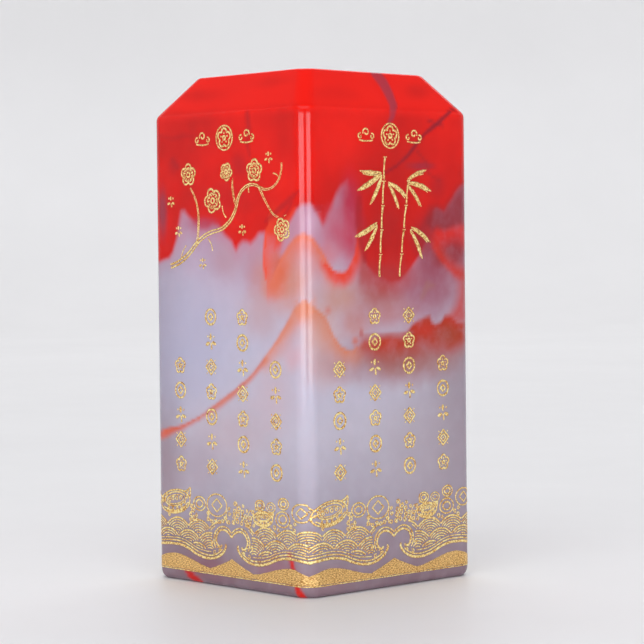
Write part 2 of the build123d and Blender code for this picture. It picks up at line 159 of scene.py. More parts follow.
# stone pattern: places are (around, up) in mm, and around runs from the near upright edge at 0
pattern = {
    "sideBlend": 3.0,            # half width of the change from the near sides to the far ones
    "topBand": 0.4,              # what lies this close under the top's height belongs to the top
    "sway": 0.3, "swaySize": 6, "swaySeeds": (11, 23),
    "grainSize": 2.0, "grainSeed": 41,
    "mistDepths": (-0.6, 0.5),   # depths into the red between which mist thins out
    "cloudGrain": 0.1, "cloudReach": 0.35,
    "lineGrain": 0.12,           # of streaks and patches
    "streakSoft": 0.42, "streakFade": (-0.5, 1),      # least softness, and the S curve's ends in softnesses
    "patchSoft": 0.5, "patchFade": (-1, 0.8),
}
nearRed = [
    (-40, 55), (-38, 55.4), (-36.3, 56), (-34.8, 56.4), (-33.9, 57.4), (-33.2, 59.2), (-32.5, 61.2),
    (-32, 63), (-31.5, 64.6), (-30.6, 64.7), (-29.4, 63.5), (-28, 62.4), (-26.4, 61.7), (-24.6, 61.7),
    (-23.2, 62.2), (-22, 62), (-20.8, 60.9), (-19.4, 60), (-18.4, 59.4), (-17.7, 58.3), (-17.1, 57.6),
    (-16.4, 58.7), (-15.4, 59.4), (-14.2, 59.2), (-13.3, 58.8), (-12.4, 59.5), (-11.2, 60.6), (-10, 60.6),
    (-8.5, 60.2), (-6.6, 60.2), (-5, 61.2), (-3.4, 62.7), (-2, 63.8), (-0.5, 64.6), (1.2, 64.7), (2.2, 64),
    (3.2, 62.7), (4, 61.6), (4.8, 62.4), (6, 64.6), (7, 66.4), (8.3, 68.2), (9.8, 69.3), (10.4, 67.5),
    (11, 65), (11.6, 62.5), (12.2, 59.5), (12.8, 57), (14, 54.6), (16, 53.2), (18, 52.6), (20, 51.8),
    (22, 52.2), (24, 53.4), (26, 55.2), (27.6, 57.4), (29, 60), (30, 62.4), (30.6, 64.4), (31, 64.6),
    (33, 63.9), (34.4, 65.4), (36, 67.2), (38, 68.8), (40, 69.4), (40, 120), (-40, 120),
]
farRed = [
    (-40, 69.4), (-37, 65.4), (-34, 61), (-31, 58), (-28.5, 54.2), (-26, 57.5), (-23, 62.4), (-20, 61.5),
    (-17, 57.8), (-14, 62), (-11, 66.8), (-8, 65), (-5, 59.6), (-2, 57.6), (1, 54), (4, 55.2), (7, 60.5),
    (10, 64.8), (13, 62.6), (16, 58), (19, 56.2), (22, 59.5), (25, 63.4), (28, 61.4), (31, 57.4), (34, 59),
    (37, 57.2), (40, 55), (40, 120), (-40, 120),
]
ember, rust, blood, crimson = (230, 70, 36), (196, 84, 56), (188, 18, 10), (160, 18, 28)
mauve, plum, blush = (148, 70, 92), (118, 40, 64), (214, 166, 180)
# the pearl tone is painted light: a paler milk where light passes through an upright edge
cool, warm, pearlEdgeLight = (164, 160, 180), (158, 138, 150), (196, 192, 208)

# what lies in the stone, and pearl mists of painted light at the upright edges, drawn in this order; each
# row ends in its colour and strength
# cloud, or mist that stays out of the red: middle, half sizes, softness
# streak: points of its line with the half thickness there, softness to its left and right
# patch: outline, softness above and below
nearMarks = [
    ("mist", (-38, 40), (9, 34), 0.9, (154, 147, 164), 0.85),
    ("mist", (-28, 42), (10, 14), 0.9, (171, 167, 190), 0.7),
    ("mist", (-37, 20), (6, 12), 0.9, (147, 126, 134), 0.8),
    ("mist", (-18, 27), (13, 6), 0.9, (182, 160, 169), 0.6),
    ("mist", (-8, 34), (7, 7), 0.9, (192, 166, 175), 0.6),
    # painted light: a pale pearl mist over the near upright edge, where light passes through the edge
    ("mist", (0, 25), (8, 12), 0.95, pearlEdgeLight, 0.2),
    ("mist", (37, 28), (12, 26), 0.9, (147, 132, 142), 0.85),
    ("mist", (26, 24), (12, 12), 0.9, (166, 154, 164), 0.6),
    ("mist", (-20, 56), (5, 4), 0.9, (176, 138, 150), 0.7),
    ("mist", (-12, 54), (4, 6), 0.9, (180, 128, 138), 0.7),
    ("mist", (-28, 21), (7, 6), 0.9, (166, 148, 160), 0.6),
    ("mist", (-33, 6), (6, 5), 0.9, (128, 106, 116), 0.7),
    ("mist", (-3, 40), (3, 3), 0.9, (206, 160, 168), 0.7),
    ("mist", (-5, 52.5), (8, 6), 0.9, (201, 128, 107), 0.85),
    ("mist", (-11, 47), (6, 5), 0.9, (186, 153, 158), 0.7),
    ("mist", (3, 44), (5, 6), 0.9, (201, 153, 144), 0.85),
    ("mist", (8, 49.6), (7, 4), 0.9, (188, 138, 127), 0.9),
    ("mist", (4.6, 38), (7, 4), 0.9, (193, 156, 158), 0.7),
    ("mist", (11, 45), (4.4, 3), 0.9, (186, 130, 126), 0.85),
    ("mist", (27, 49.5), (10, 5.5), 0.9, (158, 100, 118), 0.9),
    ("mist", (31, 56), (9, 9), 0.9, (148, 66, 84), 0.97),
    ("mist", (18, 47), (9, 3.6), 0.9, (176, 118, 122), 0.9),
    ("mist", (22, 39), (18, 5), 0.9, (154, 84, 74), 0.9),
    ("mist", (16.5, 50.6), (6.5, 3.4), 0.9, (164, 89, 85), 0.9),
    ("mist", (13.4, 54), (2.2, 4.4), 0.9, (167, 78, 77), 0.85),
    ("mist", (-26, 3), (10, 2.6), 0.8, (134, 86, 98), 0.7),
    ("mist", (-8, 4.6), (7, 3), 0.8, (147, 97, 110), 0.65),
    ("mist", (5, 3), (6, 3), 0.8, (147, 115, 125), 0.5),
    ("cloud", (-36.6, 64.5), (1.5, 5), 0.8, (132, 56, 74), 0.85),
    ("cloud", (-26, 62.2), (5, 1.4), 0.9, (158, 78, 107), 0.6),
    # the low thin streak and the arch over the near upright edge
    ("streak", [(-39, 25, 0.6), (-37.6, 25.4, 0.58), (-36, 26, 0.46), (-34, 26.6, 0.36), (-32, 27.2, 0.26),
                (-30, 27.9, 0.2), (-27.5, 28.9, 0.14)], 0.25, 0.9, (204, 84, 50), 0.95),
    ("streak", [(-27.5, 28.9, 0.14), (-25, 30, 0.26), (-22.5, 31.1, 0.36), (-20, 32.4, 0.42),
                (-17.5, 33.8, 0.4), (-15, 35.5, 0.28), (-12.5, 37.3, 0.26), (-10, 39.3, 0.3)],
     0.26, 0.9, (204, 102, 72), 0.85),
    ("streak", [(-10, 39.3, 0.3), (-8, 41, 0.4), (-6, 42.8, 0.6), (-4, 45, 0.8), (-2, 47.2, 0.9),
                (-0.2, 48.4, 0.9)], 0.5, 3.0, (212, 124, 94), 0.9),
    ("streak", [(-0.2, 48.4, 0.9), (2, 47.4, 0.7), (4, 46.2, 0.6), (5, 44.6, 0.5), (6, 42.9, 0.5),
                (7.5, 41.3, 0.5), (9, 40.4, 0.5), (10.5, 40.1, 0.4), (11.5, 41, 0.3)],
     0.45, 3.2, (206, 122, 88), 0.9),
    ("cloud", (5, 47.5), (0.9, 0.8), 0.9, (200, 104, 88), 0.6),
    ("cloud", (12.7, 43.7), (0.45, 0.9), 0.9, (180, 64, 44), 0.8),
    ("cloud", (11.2, 42.4), (0.9, 0.8), 0.9, (204, 104, 80), 0.75),
    # the brown band across the right side
    ("patch", [(12.4, 41), (13.2, 42.6), (15, 42.8), (18, 43), (20, 43.1), (22, 42.9), (24, 43.7),
               (25.2, 44.8), (26.5, 45.4), (28, 45.8), (29.3, 46.1), (29.8, 45), (30.6, 44.5), (32, 44.9),
               (33, 45.8), (34.5, 45.8), (36, 44.8), (39, 44.5), (39, 41), (34, 40), (28, 40.6), (22, 40),
               (16, 39.8)], 0.3, 2.6, (172, 42, 6), 0.98),
    ("cloud", (18, 41.8), (5, 1.3), 0.9, (184, 48, 16), 0.75),
    ("cloud", (28, 43.8), (3, 1.6), 0.9, (188, 48, 32), 0.85),
    ("cloud", (34, 42.6), (4, 2.2), 0.9, (158, 62, 40), 0.8),
    # the soft lobe beside the near edge: crisp on its left, fading right and down
    ("streak", [(-9.2, 61, 0.3), (-9.7, 58, 0.5), (-9.8, 55.4, 0.5), (-9.6, 53, 0.2)],
     5.5, 0.45, ember, 0.96),
    ("cloud", (-7.6, 51.6), (3.4, 2.4), 0.9, (212, 108, 80), 0.75),
    ("cloud", (-6.2, 55), (2.6, 3), 0.9, (204, 78, 38), 0.8),
    ("cloud", (-6, 59.4), (3.2, 2.4), 0.9, (222, 56, 32), 0.85),
    # the lavender wedge over the near edge
    ("patch", [(-6, 57), (-5, 60), (-3.6, 62), (-2, 64), (-0.6, 65), (1.2, 65.2), (2.4, 63.8), (3.6, 61.6),
               (5, 60.6), (6, 58), (4, 56.6), (0, 58)], 0.6, 0.8, (184, 132, 152), 0.9),
    ("cloud", (1.5, 62), (2.4, 2.6), 0.9, (196, 158, 180), 0.7),
    ("streak", [(-7.4, 58, 0.2), (-5.8, 60.4, 0.35), (-4, 62.6, 0.35), (-2.4, 64.4, 0.1)],
     0.5, 0.7, (224, 66, 40), 0.7),
    ("cloud", (10.4, 64.6), (3.0, 6.6), 0.95, (176, 40, 66), 1.0),
    ("cloud", (10.4, 59.6), (3.6, 5.6), 0.95, (182, 58, 84), 0.97),
    ("cloud", (7, 60.8), (3.2, 4.6), 0.95, (186, 82, 104), 0.85),
    ("cloud", (5.4, 56.8), (2.8, 2.4), 0.9, (198, 120, 132), 0.8),
    ("streak", [(-7.4, 53.6, 0.3), (-5.5, 55.8, 0.6), (-3.6, 57.6, 0.8), (-2, 58.8, 0.9), (-0.4, 59.4, 0.9),
                (1.4, 58.8, 0.8), (3, 57.2, 0.7), (4.4, 55.4, 0.6), (5.6, 54.2, 0.6)],
     0.45, 4.0, (218, 110, 80), 0.9),
    ("streak", [(4.4, 55.2, 0.25), (5.8, 53.9, 0.55), (7.2, 53.1, 0.75), (8.6, 52.9, 0.8), (10, 53.4, 0.75),
                (11, 54.8, 0.7), (11.8, 56.6, 0.6), (12.2, 58.6, 0.5), (12.2, 60.6, 0.3)],
     0.3, 1.6, (224, 58, 32), 0.97),
    ("streak", [(12.6, 66, 0.5), (12.3, 62, 0.6), (12.8, 58.6, 0.5), (13.6, 55.6, 0.3)],
     0.6, 0.6, crimson, 0.7),
    ("cloud", (19, 53), (8, 3.6), 0.9, (172, 50, 52), 0.85),
    # the right side's mauve, its bright red band and the streak that leads to its far edge
    ("patch", [(28, 61.4), (28.4, 63), (29.6, 64.6), (31.2, 64.8), (33, 64.2), (34.8, 66), (36.8, 68),
               (39, 68.8), (39, 61), (35, 60.9), (32, 60.4), (30, 60.2)], 1.5, 1.1, (140, 30, 38), 0.9),
    ("patch", [(27.4, 60.4), (28.6, 61.4), (29.8, 60.6), (31, 61.2), (33, 60.8), (35.4, 61.3), (38.8, 61.8),
               (39, 57.4), (36, 57.6), (34, 58), (32.8, 56.2), (31.2, 57.4), (29.6, 58.8)],
     0.9, 1.2, (206, 28, 16), 0.95),
    ("cloud", (35.6, 56.6), (4.6, 3.4), 0.9, (144, 42, 50), 0.95),
    ("cloud", (32.4, 56.2), (3, 2.2), 0.9, (146, 42, 44), 0.8),
    ("cloud", (27.6, 59.4), (3.4, 4.2), 0.95, (146, 32, 42), 0.8),
    ("streak", [(30.4, 58, 0.2), (31.6, 56.8, 0.35), (33, 55.4, 0.4), (34.4, 54.3, 0.45), (36, 53.5, 0.6),
                (39, 52.8, 0.7)], 1.8, 0.9, (200, 44, 30), 0.9),
    ("patch", [(36, 53.6), (36.8, 51.6), (36.6, 49.6), (35.8, 47.8), (34.4, 46.2), (33.6, 45.6), (36, 44.8),
               (39.4, 44.6), (39.4, 53.6)], 1.8, 1.6, (186, 52, 42), 0.85),
    ("streak", [(27.4, 49.4, 0.3), (28.8, 51.4, 0.5), (30.2, 51.2, 0.2)], 0.7, 0.7, (158, 104, 92), 0.5),
    # red dabs at the foot
    ("streak", [(-31.6, 2.1, 0.3), (-30.6, 1.5, 0.62), (-29.2, 0.8, 0.55), (-27.2, 0.2, 0.2)],
     0.5, 0.5, blood, 0.97),
    ("streak", [(-4.6, 6.8, 0.4), (-4, 5.6, 0.45), (-3.2, 3.4, 0.42), (-2.6, 1.6, 0.6), (-1.4, 0, 0.75)],
     0.3, 0.3, (202, 24, 6), 0.97),
    # darker clouds and veins inside the red
    ("cloud", (-27, 84.6), (7, 1.6), 0.95, (206, 10, 4), 0.6),
    ("cloud", (-8, 86), (6, 1.4), 0.95, (210, 14, 6), 0.55),
    ("cloud", (7, 83.4), (6, 1.8), 0.95, (208, 12, 4), 0.5),
    ("cloud", (27, 85), (4, 1.6), 0.95, (198, 12, 8), 0.6),
    ("cloud", (-34, 80), (5, 3), 0.95, (196, 16, 10), 0.5),
    ("cloud", (8, 77), (10, 8), 0.9, (238, 20, 2), 0.75),
    ("cloud", (21, 70), (9, 8.5), 0.95, (176, 12, 8), 0.75),
    ("cloud", (19, 60), (8, 7), 0.9, (164, 16, 16), 0.8),
    ("streak", [(-9.6, 62.4, 0.15), (-7, 63.8, 0.35), (-4, 65.6, 0.35), (-1.6, 67.2, 0.1)],
     0.5, 0.7, crimson, 0.6),
    ("streak", [(-6, 62.4, 0.1), (-4.4, 63.8, 0.25), (-3, 65.4, 0.1)], 0.4, 0.4, crimson, 0.5),
    ("cloud", (3, 64.4), (1.2, 0.8), 0.8, (176, 30, 44), 0.6),
    ("cloud", (27.5, 71.8), (4, 0.8), 0.9, plum, 0.55),
    ("cloud", (31.4, 68.6), (2.6, 2.6), 0.95, crimson, 0.5),
    ("cloud", (-16.2, 72), (2.6, 2.6), 0.95, crimson, 0.55),
    ("cloud", (-20, 66.5), (7, 3.4), 0.95, crimson, 0.35),
    ("cloud", (-33.4, 72.4), (1.6, 1.8), 0.95, crimson, 0.45),
    ("streak", [(-37.4, 78, 0.15), (-34, 77.3, 0.25), (-31, 77.7, 0.3), (-28, 77.4, 0.1)],
     0.6, 0.6, crimson, 0.4),
    ("streak", [(-13.9, 80.6, 0.3), (-13.5, 78, 0.4), (-14, 75.6, 0.35), (-13.4, 73.6, 0.15)],
     0.6, 0.6, crimson, 0.6),
    ("streak", [(-34, 73.5, 0.15), (-32.4, 72.2, 0.25)], 0.6, 0.6, crimson, 0.6),
    ("streak", [(9.5, 97, 0.2), (12.8, 93, 0.6), (16.4, 88, 0.8), (18.6, 86, 0.9), (20, 84, 0.8),
                (20.9, 82, 0.75), (20.6, 80, 0.5), (19.8, 79, 0.2)], 0.45, 0.45, (160, 48, 66), 0.85),
    ("streak", [(36.6, 82.8, 0.1), (34.4, 81.2, 0.18), (32, 79.4, 0.2), (30, 78.2, 0.18), (28, 77, 0.14),
                (26, 75.2, 0.2), (24, 73.4, 0.14), (21.5, 71.6, 0.12), (18.6, 70.4, 0.08)],
     0.3, 0.3, (116, 14, 36), 0.85),
    ("streak", [(29, 79.8, 0.1), (31.4, 79, 0.2), (33, 78.8, 0.1)], 0.3, 0.3, (112, 16, 40), 0.5),
    ("streak", [(26.4, 74.4, 0.1), (28.6, 72.4, 0.16), (29, 70.6, 0.14), (32, 69.4, 0.1)],
     0.4, 0.4, crimson, 0.6),
]
farMarks = [
    ("mist", (38, 38), (9, 30), 0.9, (166, 158, 178), 0.8),
    ("mist", (-38, 28), (10, 26), 0.9, (160, 144, 156), 0.8),
    ("mist", (-24, 42), (12, 12), 0.9, cool, 0.6),
    ("mist", (24, 24), (12, 9), 0.9, warm, 0.5),
    # painted light: a pale pearl mist over the far upright edge, where light passes through the edge
    ("mist", (0, 26), (10, 10), 0.9, pearlEdgeLight, 0.6),
    ("mist", (-6, 47), (12, 6), 0.9, (212, 160, 158), 0.8),
    ("mist", (18, 49), (12, 6), 0.9, (188, 132, 144), 0.85),
    ("mist", (18, 37), (16, 5), 0.9, (196, 146, 148), 0.8),
    ("patch", [(-39.6, 61), (-34, 61), (-33, 58), (-36, 57.2), (-39.6, 57.4)],
     0.4, 0.6, (206, 34, 26), 0.95),
    ("patch", [(-39.6, 69), (-36, 66), (-34, 61.6), (-39.6, 61.4)], 0.5, 0.5, (136, 50, 66), 0.9),
    ("patch", [(-39.6, 53.6), (-36.4, 52), (-35.4, 48), (-34, 45), (-39.6, 44.6)],
     0.6, 0.8, (190, 50, 42), 0.9),
    ("streak", [(-40, 43, 1.5), (-36, 42.6, 1.2), (-30, 41.4, 0.9), (-24, 42.6, 1.0), (-18, 43.8, 0.6),
                (-12, 43, 0.2)], 0.4, 2.4, (184, 78, 54), 0.9),
    ("streak", [(-12, 36.4, 0.3), (-6, 41, 0.7), (-1, 45.4, 1.0), (3, 45.6, 1.0), (8, 41.6, 0.7),
                (13, 38, 0.3)], 0.5, 3.2, (210, 122, 92), 0.9),
    ("streak", [(13, 38, 0.3), (20, 33.6, 0.4), (27, 29.4, 0.3), (34, 26.6, 0.4), (40, 25, 0.6)],
     0.3, 1.0, rust, 0.9),
    ("streak", [(-24, 55.6, 0.3), (-20, 52.8, 0.7), (-16, 52.2, 0.85), (-12, 54, 0.8), (-9, 58.6, 0.5)],
     0.3, 1.6, (222, 58, 34), 0.95),
    ("streak", [(-2, 57.6, 0.5), (1, 54.6, 0.8), (4, 54.4, 0.7), (8, 58, 0.3)], 0.6, 3.4, ember, 0.9),
    ("cloud", (-28, 54), (4, 4), 0.8, ember, 0.75),
    ("cloud", (18.6, 55), (4, 3.4), 0.8, (200, 76, 70), 0.8),
    ("cloud", (-12, 63), (2.2, 4.4), 0.8, (168, 52, 80), 0.85),
    ("cloud", (-14, 58), (3, 3.4), 0.8, (194, 96, 120), 0.8),
    ("cloud", (9.6, 61.4), (2.4, 3.4), 0.8, mauve, 0.8),
    ("cloud", (26, 60.6), (3, 3), 0.8, blush, 0.6),
    ("streak", [(28, 1, 0.4), (30, 1.6, 0.8), (31.6, 0.8, 0.5)], 0.4, 0.4, blood, 0.95),
    ("cloud", (24, 70), (3, 2), 0.9, plum, 0.5),
    ("cloud", (-30, 72), (2.4, 3), 0.9, crimson, 0.5),
    ("streak", [(-36, 82, 0.15), (-28, 76, 0.25), (-20, 74.6, 0.2), (-12, 72, 0.1)],
     0.3, 0.3, (116, 14, 36), 0.8),
    ("streak", [(-3, 96, 0.1), (0.6, 91.5, 0.6), (2, 88, 0.8), (4, 82, 0.7), (3, 77, 0.5), (8, 72, 0.2)],
     0.45, 0.45, (160, 48, 66), 0.8),
    ("streak", [(22, 84, 0.15), (28, 78, 0.25), (34, 76, 0.15)], 0.3, 0.3, (116, 14, 36), 0.6),
]


def lineDistance(places, line):
    # distance to the nearest point of a line of straight runs, less the line's half thickness there if
    # its points give one, and whether the place lies to the left of that run
    line = np.asarray(line, float)
    spots, sizes = line[:, :2], line[:, 2] if line.shape[1] > 2 else np.zeros(len(line))
    nearest, toLeft = np.full(len(places), 1e9), np.zeros(len(places), bool)
    for start, end, sizeA, sizeB in zip(spots, spots[1:], sizes, sizes[1:]):
        run, offset = end - start, places - start
        share = np.clip((offset @ run) / (run @ run), 0, 1)
        away = np.linalg.norm(offset - share[:, None] * run, axis=1) - sizeA - share * (sizeB - sizeA)
        closer = away < nearest
        nearest = np.where(closer, away, nearest)
        toLeft = np.where(closer, run[0] * offset[:, 1] > run[1] * offset[:, 0], toLeft)
    return nearest, toLeft


def insideOutline(places, outline):
    # a point is inside when a line from it to the right crosses the outline an odd number of times
    outline = np.asarray(outline, float)
    crossings = np.zeros(len(places), bool)
    for start, end in zip(outline, np.roll(outline, -1, axis=0)):
        if start[1] == end[1]:
            continue
        passes = (places[:, 1] < start[1]) != (places[:, 1] < end[1])
        edge = start[0] + (places[:, 1] - start[1]) * (end[0] - start[0]) / (end[1] - start[1])
        crossings ^= passes & (places[:, 0] < edge)
    return crossings


def markCover(mark, places, grain, milkShare):
    # how much of each place a mark covers, from 0 to 1: an S curve of the distance over the softness
    kind, *shape, _, strength = mark
    if kind in ("cloud", "mist"):
        middle, sizes, soft = shape
        reach = np.linalg.norm((places - middle) / sizes, axis=1) + pattern["cloudGrain"] * grain
        within = strength * (1 - smooth(reach, 1 - soft, 1 + soft * pattern["cloudReach"]))
        return within * (milkShare if kind == "mist" else 1)
    if kind == "streak":
        line, softLeft, softRight = shape
        away, toLeft = lineDistance(places, line)
        soft = np.maximum(np.where(toLeft, softLeft, softRight), pattern["streakSoft"])
        return strength * (1 - smooth((away + pattern["lineGrain"] * grain) / soft, *pattern["streakFade"]))
    outline, softAbove, softBelow = shape
    away, _ = lineDistance(places, outline + outline[:1])
    above = places[:, 1] > np.mean(np.array(outline)[:, 1])
    soft = np.maximum(np.where(above, softAbove, softBelow), pattern["patchSoft"])
    depth = np.where(insideOutline(places, outline), away, -away) + pattern["lineGrain"] * grain
    return strength * smooth(depth / soft, *pattern["patchFade"])


def stoneValues(points):
    # depth into the red, and the colour and cover of the marks, for each point of the stone;
    # on the top, up goes on with the way in from the ridge; on the far sides, around runs backwards
    nearSide = smooth(points[:, 0] - points[:, 1], -pattern["sideBlend"], pattern["sideBlend"])
    ridge = half - block["polishedBack"] - block["bevelInset"]
    onTop = points[:, 2] > block["height"] - pattern["topBand"]
    inward = np.clip(ridge - np.abs(points[:, :2]).max(axis=1), 0, None) * onTop
    places = np.stack([points[:, 0] + points[:, 1], points[:, 2] + inward], axis=1)
    sway = [layeredNoise(points, pattern["swaySize"], seed) for seed in pattern["swaySeeds"]]
    places = places + pattern["sway"] * np.stack(sway, axis=1)
    farPlaces = places * (-1, 1)
    redDepth = np.zeros(len(points))
    for outline, spots, share in ((nearRed, places, nearSide), (farRed, farPlaces, 1 - nearSide)):
        away, _ = lineDistance(spots, outline[:-2])
        redDepth += share * np.where(insideOutline(spots, outline), away, -away)
    grain = layeredNoise(points, pattern["grainSize"], pattern["grainSeed"])
    milkShare = 1 - smooth(redDepth, *pattern["mistDepths"])
    tint, cover = np.zeros((len(points), 3)), np.zeros(len(points))
    near = [(mark, places, nearSide) for mark in nearMarks]
    far = [(mark, farPlaces, 1 - nearSide) for mark in farMarks]
    for mark, spots, share in near + far:
        here = markCover(mark, spots, grain, milkShare) * share
        tint = tint * (1 - here[:, None]) + np.array(tone(mark[-2])[:3]) * here[:, None]
        cover = cover * (1 - here) + here
    colours = np.ones((len(points), 4))
    colours[:, :3] = tint / np.maximum(cover, 1e-4)[:, None]
    return {"redDepth": redDepth, "markColour": colours, "markCover": cover}


print("stage: stone pattern ready")


def roundedSquare(halfWidth, radius, columns):
    # round the outline anticlockwise: straight runs by share of their length, arcs by angle
    corner, angle, along = columns
    turns = np.array([[1, 1], [-1, 1], [-1, -1], [1, -1]])
    spread = np.broadcast_to(radius, angle.shape)[:, None]
    reach = np.broadcast_to(halfWidth - radius, angle.shape)[:, None]
    centre, nextCentre = turns[corner] * reach, turns[(corner + 1) % 4] * reach
    arc = np.stack([np.cos(angle), np.sin(angle)], axis=1)
    return centre + (nextCentre - centre) * along[:, None] + spread * arc


def stoneColumns():
    # one set of outline columns: for each upright edge its arc, then the flat that follows it
    corner, angle, along = [], [], []
    inner = np.linspace(0, 1, block["flatSteps"] + 1)[1:-1]
    flat = np.concatenate([[block["seam"]], inner, [1 - block["seam"]]])
    for k in range(4):
        arc = np.linspace(0, math.pi / 2, block["edgeSteps"] + 1) + k * math.pi / 2
        corner += [k] * (len(arc) + len(flat))
        angle += list(arc) + [(k + 1) * math.pi / 2] * len(flat)
        along += [0.0] * len(arc) + list(flat)
    return np.array(corner), np.array(angle), np.array(along)


def bezier(start, bend, end, steps):
    # a curve from start to end that leaves and arrives pointing at the bend
    t = np.linspace(0, 1, steps + 1)[:, None, None]
    return (1 - t) ** 2 * start + 2 * t * (1 - t) * bend + t**2 * end


def straight(start, end, steps):
    # the rings between two rings, at even shares of the way
    return [start + (end - start) * share for share in np.linspace(0, 1, steps + 1)[1:-1]]


def stoneShell():
    # rings from the foot to the middle of the top, each a rounded square at its own height
    columns = stoneColumns()
    corner, angle, along = columns
    count = len(corner)
    atEdge = np.where(along > 0, 0, np.sin(2 * (angle - corner * math.pi / 2)) ** 2)
    outer = half - block["polishedBack"]
    radius = block["edgeRadius"] - block["polishedBack"]

    def ring(halfWidth, cornerRadius, height):
        flat = roundedSquare(halfWidth, cornerRadius, columns)
        return np.column_stack([flat, np.broadcast_to(height, count)])

    def blended(pair):
        return pair[0] + (pair[1] - pair[0]) * atEdge

    def partWay(start, end, length):
        # the ring that lies this length along the way from one ring to another
        way = end - start
        return start + way * (length / np.linalg.norm(way, axis=1))[:, None]

    footRadius = blended(block["footRadius"])
    rings = []
    for a in np.linspace(0, math.pi / 2, block["footSteps"] + 1):
        inset = footRadius * (1 - math.sin(a))
        rings.append(ring(outer - inset, radius - inset, footRadius * (1 - math.cos(a))))
    crease = ring(outer, radius, shoulder)
    ridge = ring(outer - block["bevelInset"], block["ridgeRadius"], block["height"])
    middle = np.array([0.0, 0.0, block["height"]])
    creaseRun, topRun = blended(block["creaseRun"]), blended(block["topRun"])
    below, above = partWay(crease, ring(outer, radius, 0), creaseRun), partWay(crease, ridge, creaseRun)
    beforeRidge, afterRidge = partWay(ridge, crease, topRun), partWay(ridge, middle, topRun)
    rings += straight(rings[-1], below, block["sideSteps"])
    rings += list(bezier(below, crease, above, block["creaseSteps"]))
    rings += straight(above, beforeRidge, block["bevelSteps"])
    rings += list(bezier(beforeRidge, ridge, afterRidge, block["ridgeSteps"]))
    rings += straight(afterRidge, middle, block["topSteps"]) + [middle * np.ones((count, 1))]
    return np.concatenate(rings), tubeQuads(len(rings), count)


sealFace = {
    "field": 17.4,                # half the carved square
    "margin": 17.9,               # half the mesh of the face
    "depth": 1.2, "slope": 0.05,
    "fretBars": [  # boxes (x0, y0, x1, y1) of one fret, turned four times
        (0.7, 2.85, 2.2, 16.0), (0.7, 14.5, 16.0, 16.0), (14.5, 0.7, 16.0, 16.0), (2.85, 0.7, 16.0, 2.2),
        (2.85, 0.7, 4.35, 13.85), (2.85, 12.35, 13.1, 13.85),
    ],
    "middle": (-0.7, -0.7, 0.7, 0.7),
    "gridReach": 16, "gridLines": 27,
}


def carvedFace():
    # height over a square grid: 0 on the frets and the border, the carving's depth between them
    boxes = [sealFace["middle"]]
    for x0, y0, x1, y1 in sealFace["fretBars"]:
        for c, s in quarterTurns:
            xs, ys = sorted((c * x0 - s * y0, c * x1 - s * y1)), sorted((s * x0 + c * y0, s * x1 + c * y1))
            boxes.append((xs[0], ys[0], xs[1], ys[1]))
    field, slope, margin = sealFace["field"], sealFace["slope"], sealFace["margin"]
    marks = sorted({round(v, 3) for box in boxes for v in box} | {-field, field})
    walls = [m + step for m in marks for step in (-slope, -slope / 3, slope / 3, slope)]
    grid = np.linspace(-sealFace["gridReach"], sealFace["gridReach"], sealFace["gridLines"])
    lines = np.unique(np.round(np.concatenate([walls, grid, [-margin, margin]]), 4))
    x, y = np.meshgrid(lines, lines, indexing="ij")

    def within(x0, y0, x1, y1):
        sides = (x - x0, x1 - x, y - y0, y1 - y)
        return np.min([smooth(distance, -slope, slope) for distance in sides], axis=0)

    level = np.max([1 - within(-field, -field, field, field)] + [within(*box) for box in boxes], axis=0)
    points = np.stack([x.ravel(), y.ravel(), sealFace["depth"] * (1 - level).ravel()], axis=1)
    n = len(lines)
    i, j = np.meshgrid(np.arange(n - 1), np.arange(n - 1), indexing="ij")
    a = (i * n + j).ravel()
    return points, np.stack([a, a + 1, a + n + 1, a + n], axis=1)


shellPoints, shellQuads = stoneShell()
facePoints, faceQuads = carvedFace()
stonePoints = np.concatenate([shellPoints, facePoints])
stoneQuads = np.concatenate([shellQuads, faceQuads + len(shellPoints)])
stonePiece = meshPiece("polishedStone", stonePoints, stoneQuads, stoneValues(stonePoints))
closeUp(stonePiece, fill=True)
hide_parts("stone_block")
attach(stonePiece, "root")
print("stage: stone", len(stonePiece.data.polygons), "faces")

# gold: lines are drawn on the flat of a face as (across, up) in mm, then laid on the stone
gold = {
    "step": 0.15,            # spacing of the rings along a line
    "rise": 0.068,           # height of a line's crown over the stone
    "root": 0.22,            # how deep the gold reaches into its groove
    # widths of the lines
    "hair": 0.25, "curl": 0.275, "fine": 0.34, "fan": 0.4176, "mark": 0.42, "scroll": 0.493, "bold": 0.58,
    "section": [  # the ribbon's outline: shares of half the width, and of the crown or rise; -1 is the root
        (-1, -0.25), (-0.72, 0.55), (-0.25, 1), (0.25, 1), (0.72, 0.55), (1, -0.25), (0.35, -1), (-0.35, -1),
    ],
    "ragged": [  # seed factor, size, seed and weight: of the width twice, then of the line's way
        (7.3, 0.45, 3, 0.16), (3.1, 0.21, 5, 0.1), (5.7, 0.6, 9, 0.03),
    ],
    "pits": (2.9, 0.17, 7, 0.5), "pitSpread": 0.3,
    "wrap": 0.7072,          # sine of the turn at which lines stop on the upright edge, just past its middle
    "taper": 0.6,            # the ends round off over this share of the width
    "endDepth": 0.1,         # and close in a point this far under the skin
    "cutZone": 0.12,         # an end this close to the cut runs on round the edge and has no taper
    "edgeZone": 0.3, "edgeStep": 0.04, "overrun": 0.02,      # lines near the cut are divided finely first
    "shortest": 0.3,
}


def onStone(face, across, up, lift):
    # wraps a face's drawing round the upright edges; lift is the height over the polished skin
    radius = block["edgeRadius"] - block["polishedBack"] + lift
    beyond = np.minimum(np.clip(np.abs(across) - flatHalf, 0, None), radius * gold["wrap"])
    out = flatHalf + np.sqrt(radius**2 - beyond**2)
    x = np.sign(across) * np.where(np.abs(across) > flatHalf, flatHalf + beyond, np.abs(across))
    c, s = quarterTurns[face]
    return np.stack([c * x + s * out, s * x - c * out, up * np.ones_like(x)], axis=-1)


def towards(degrees, length=1.0):
    # the step of this length in this direction
    return length * np.array([math.cos(math.radians(degrees)), math.sin(math.radians(degrees))])


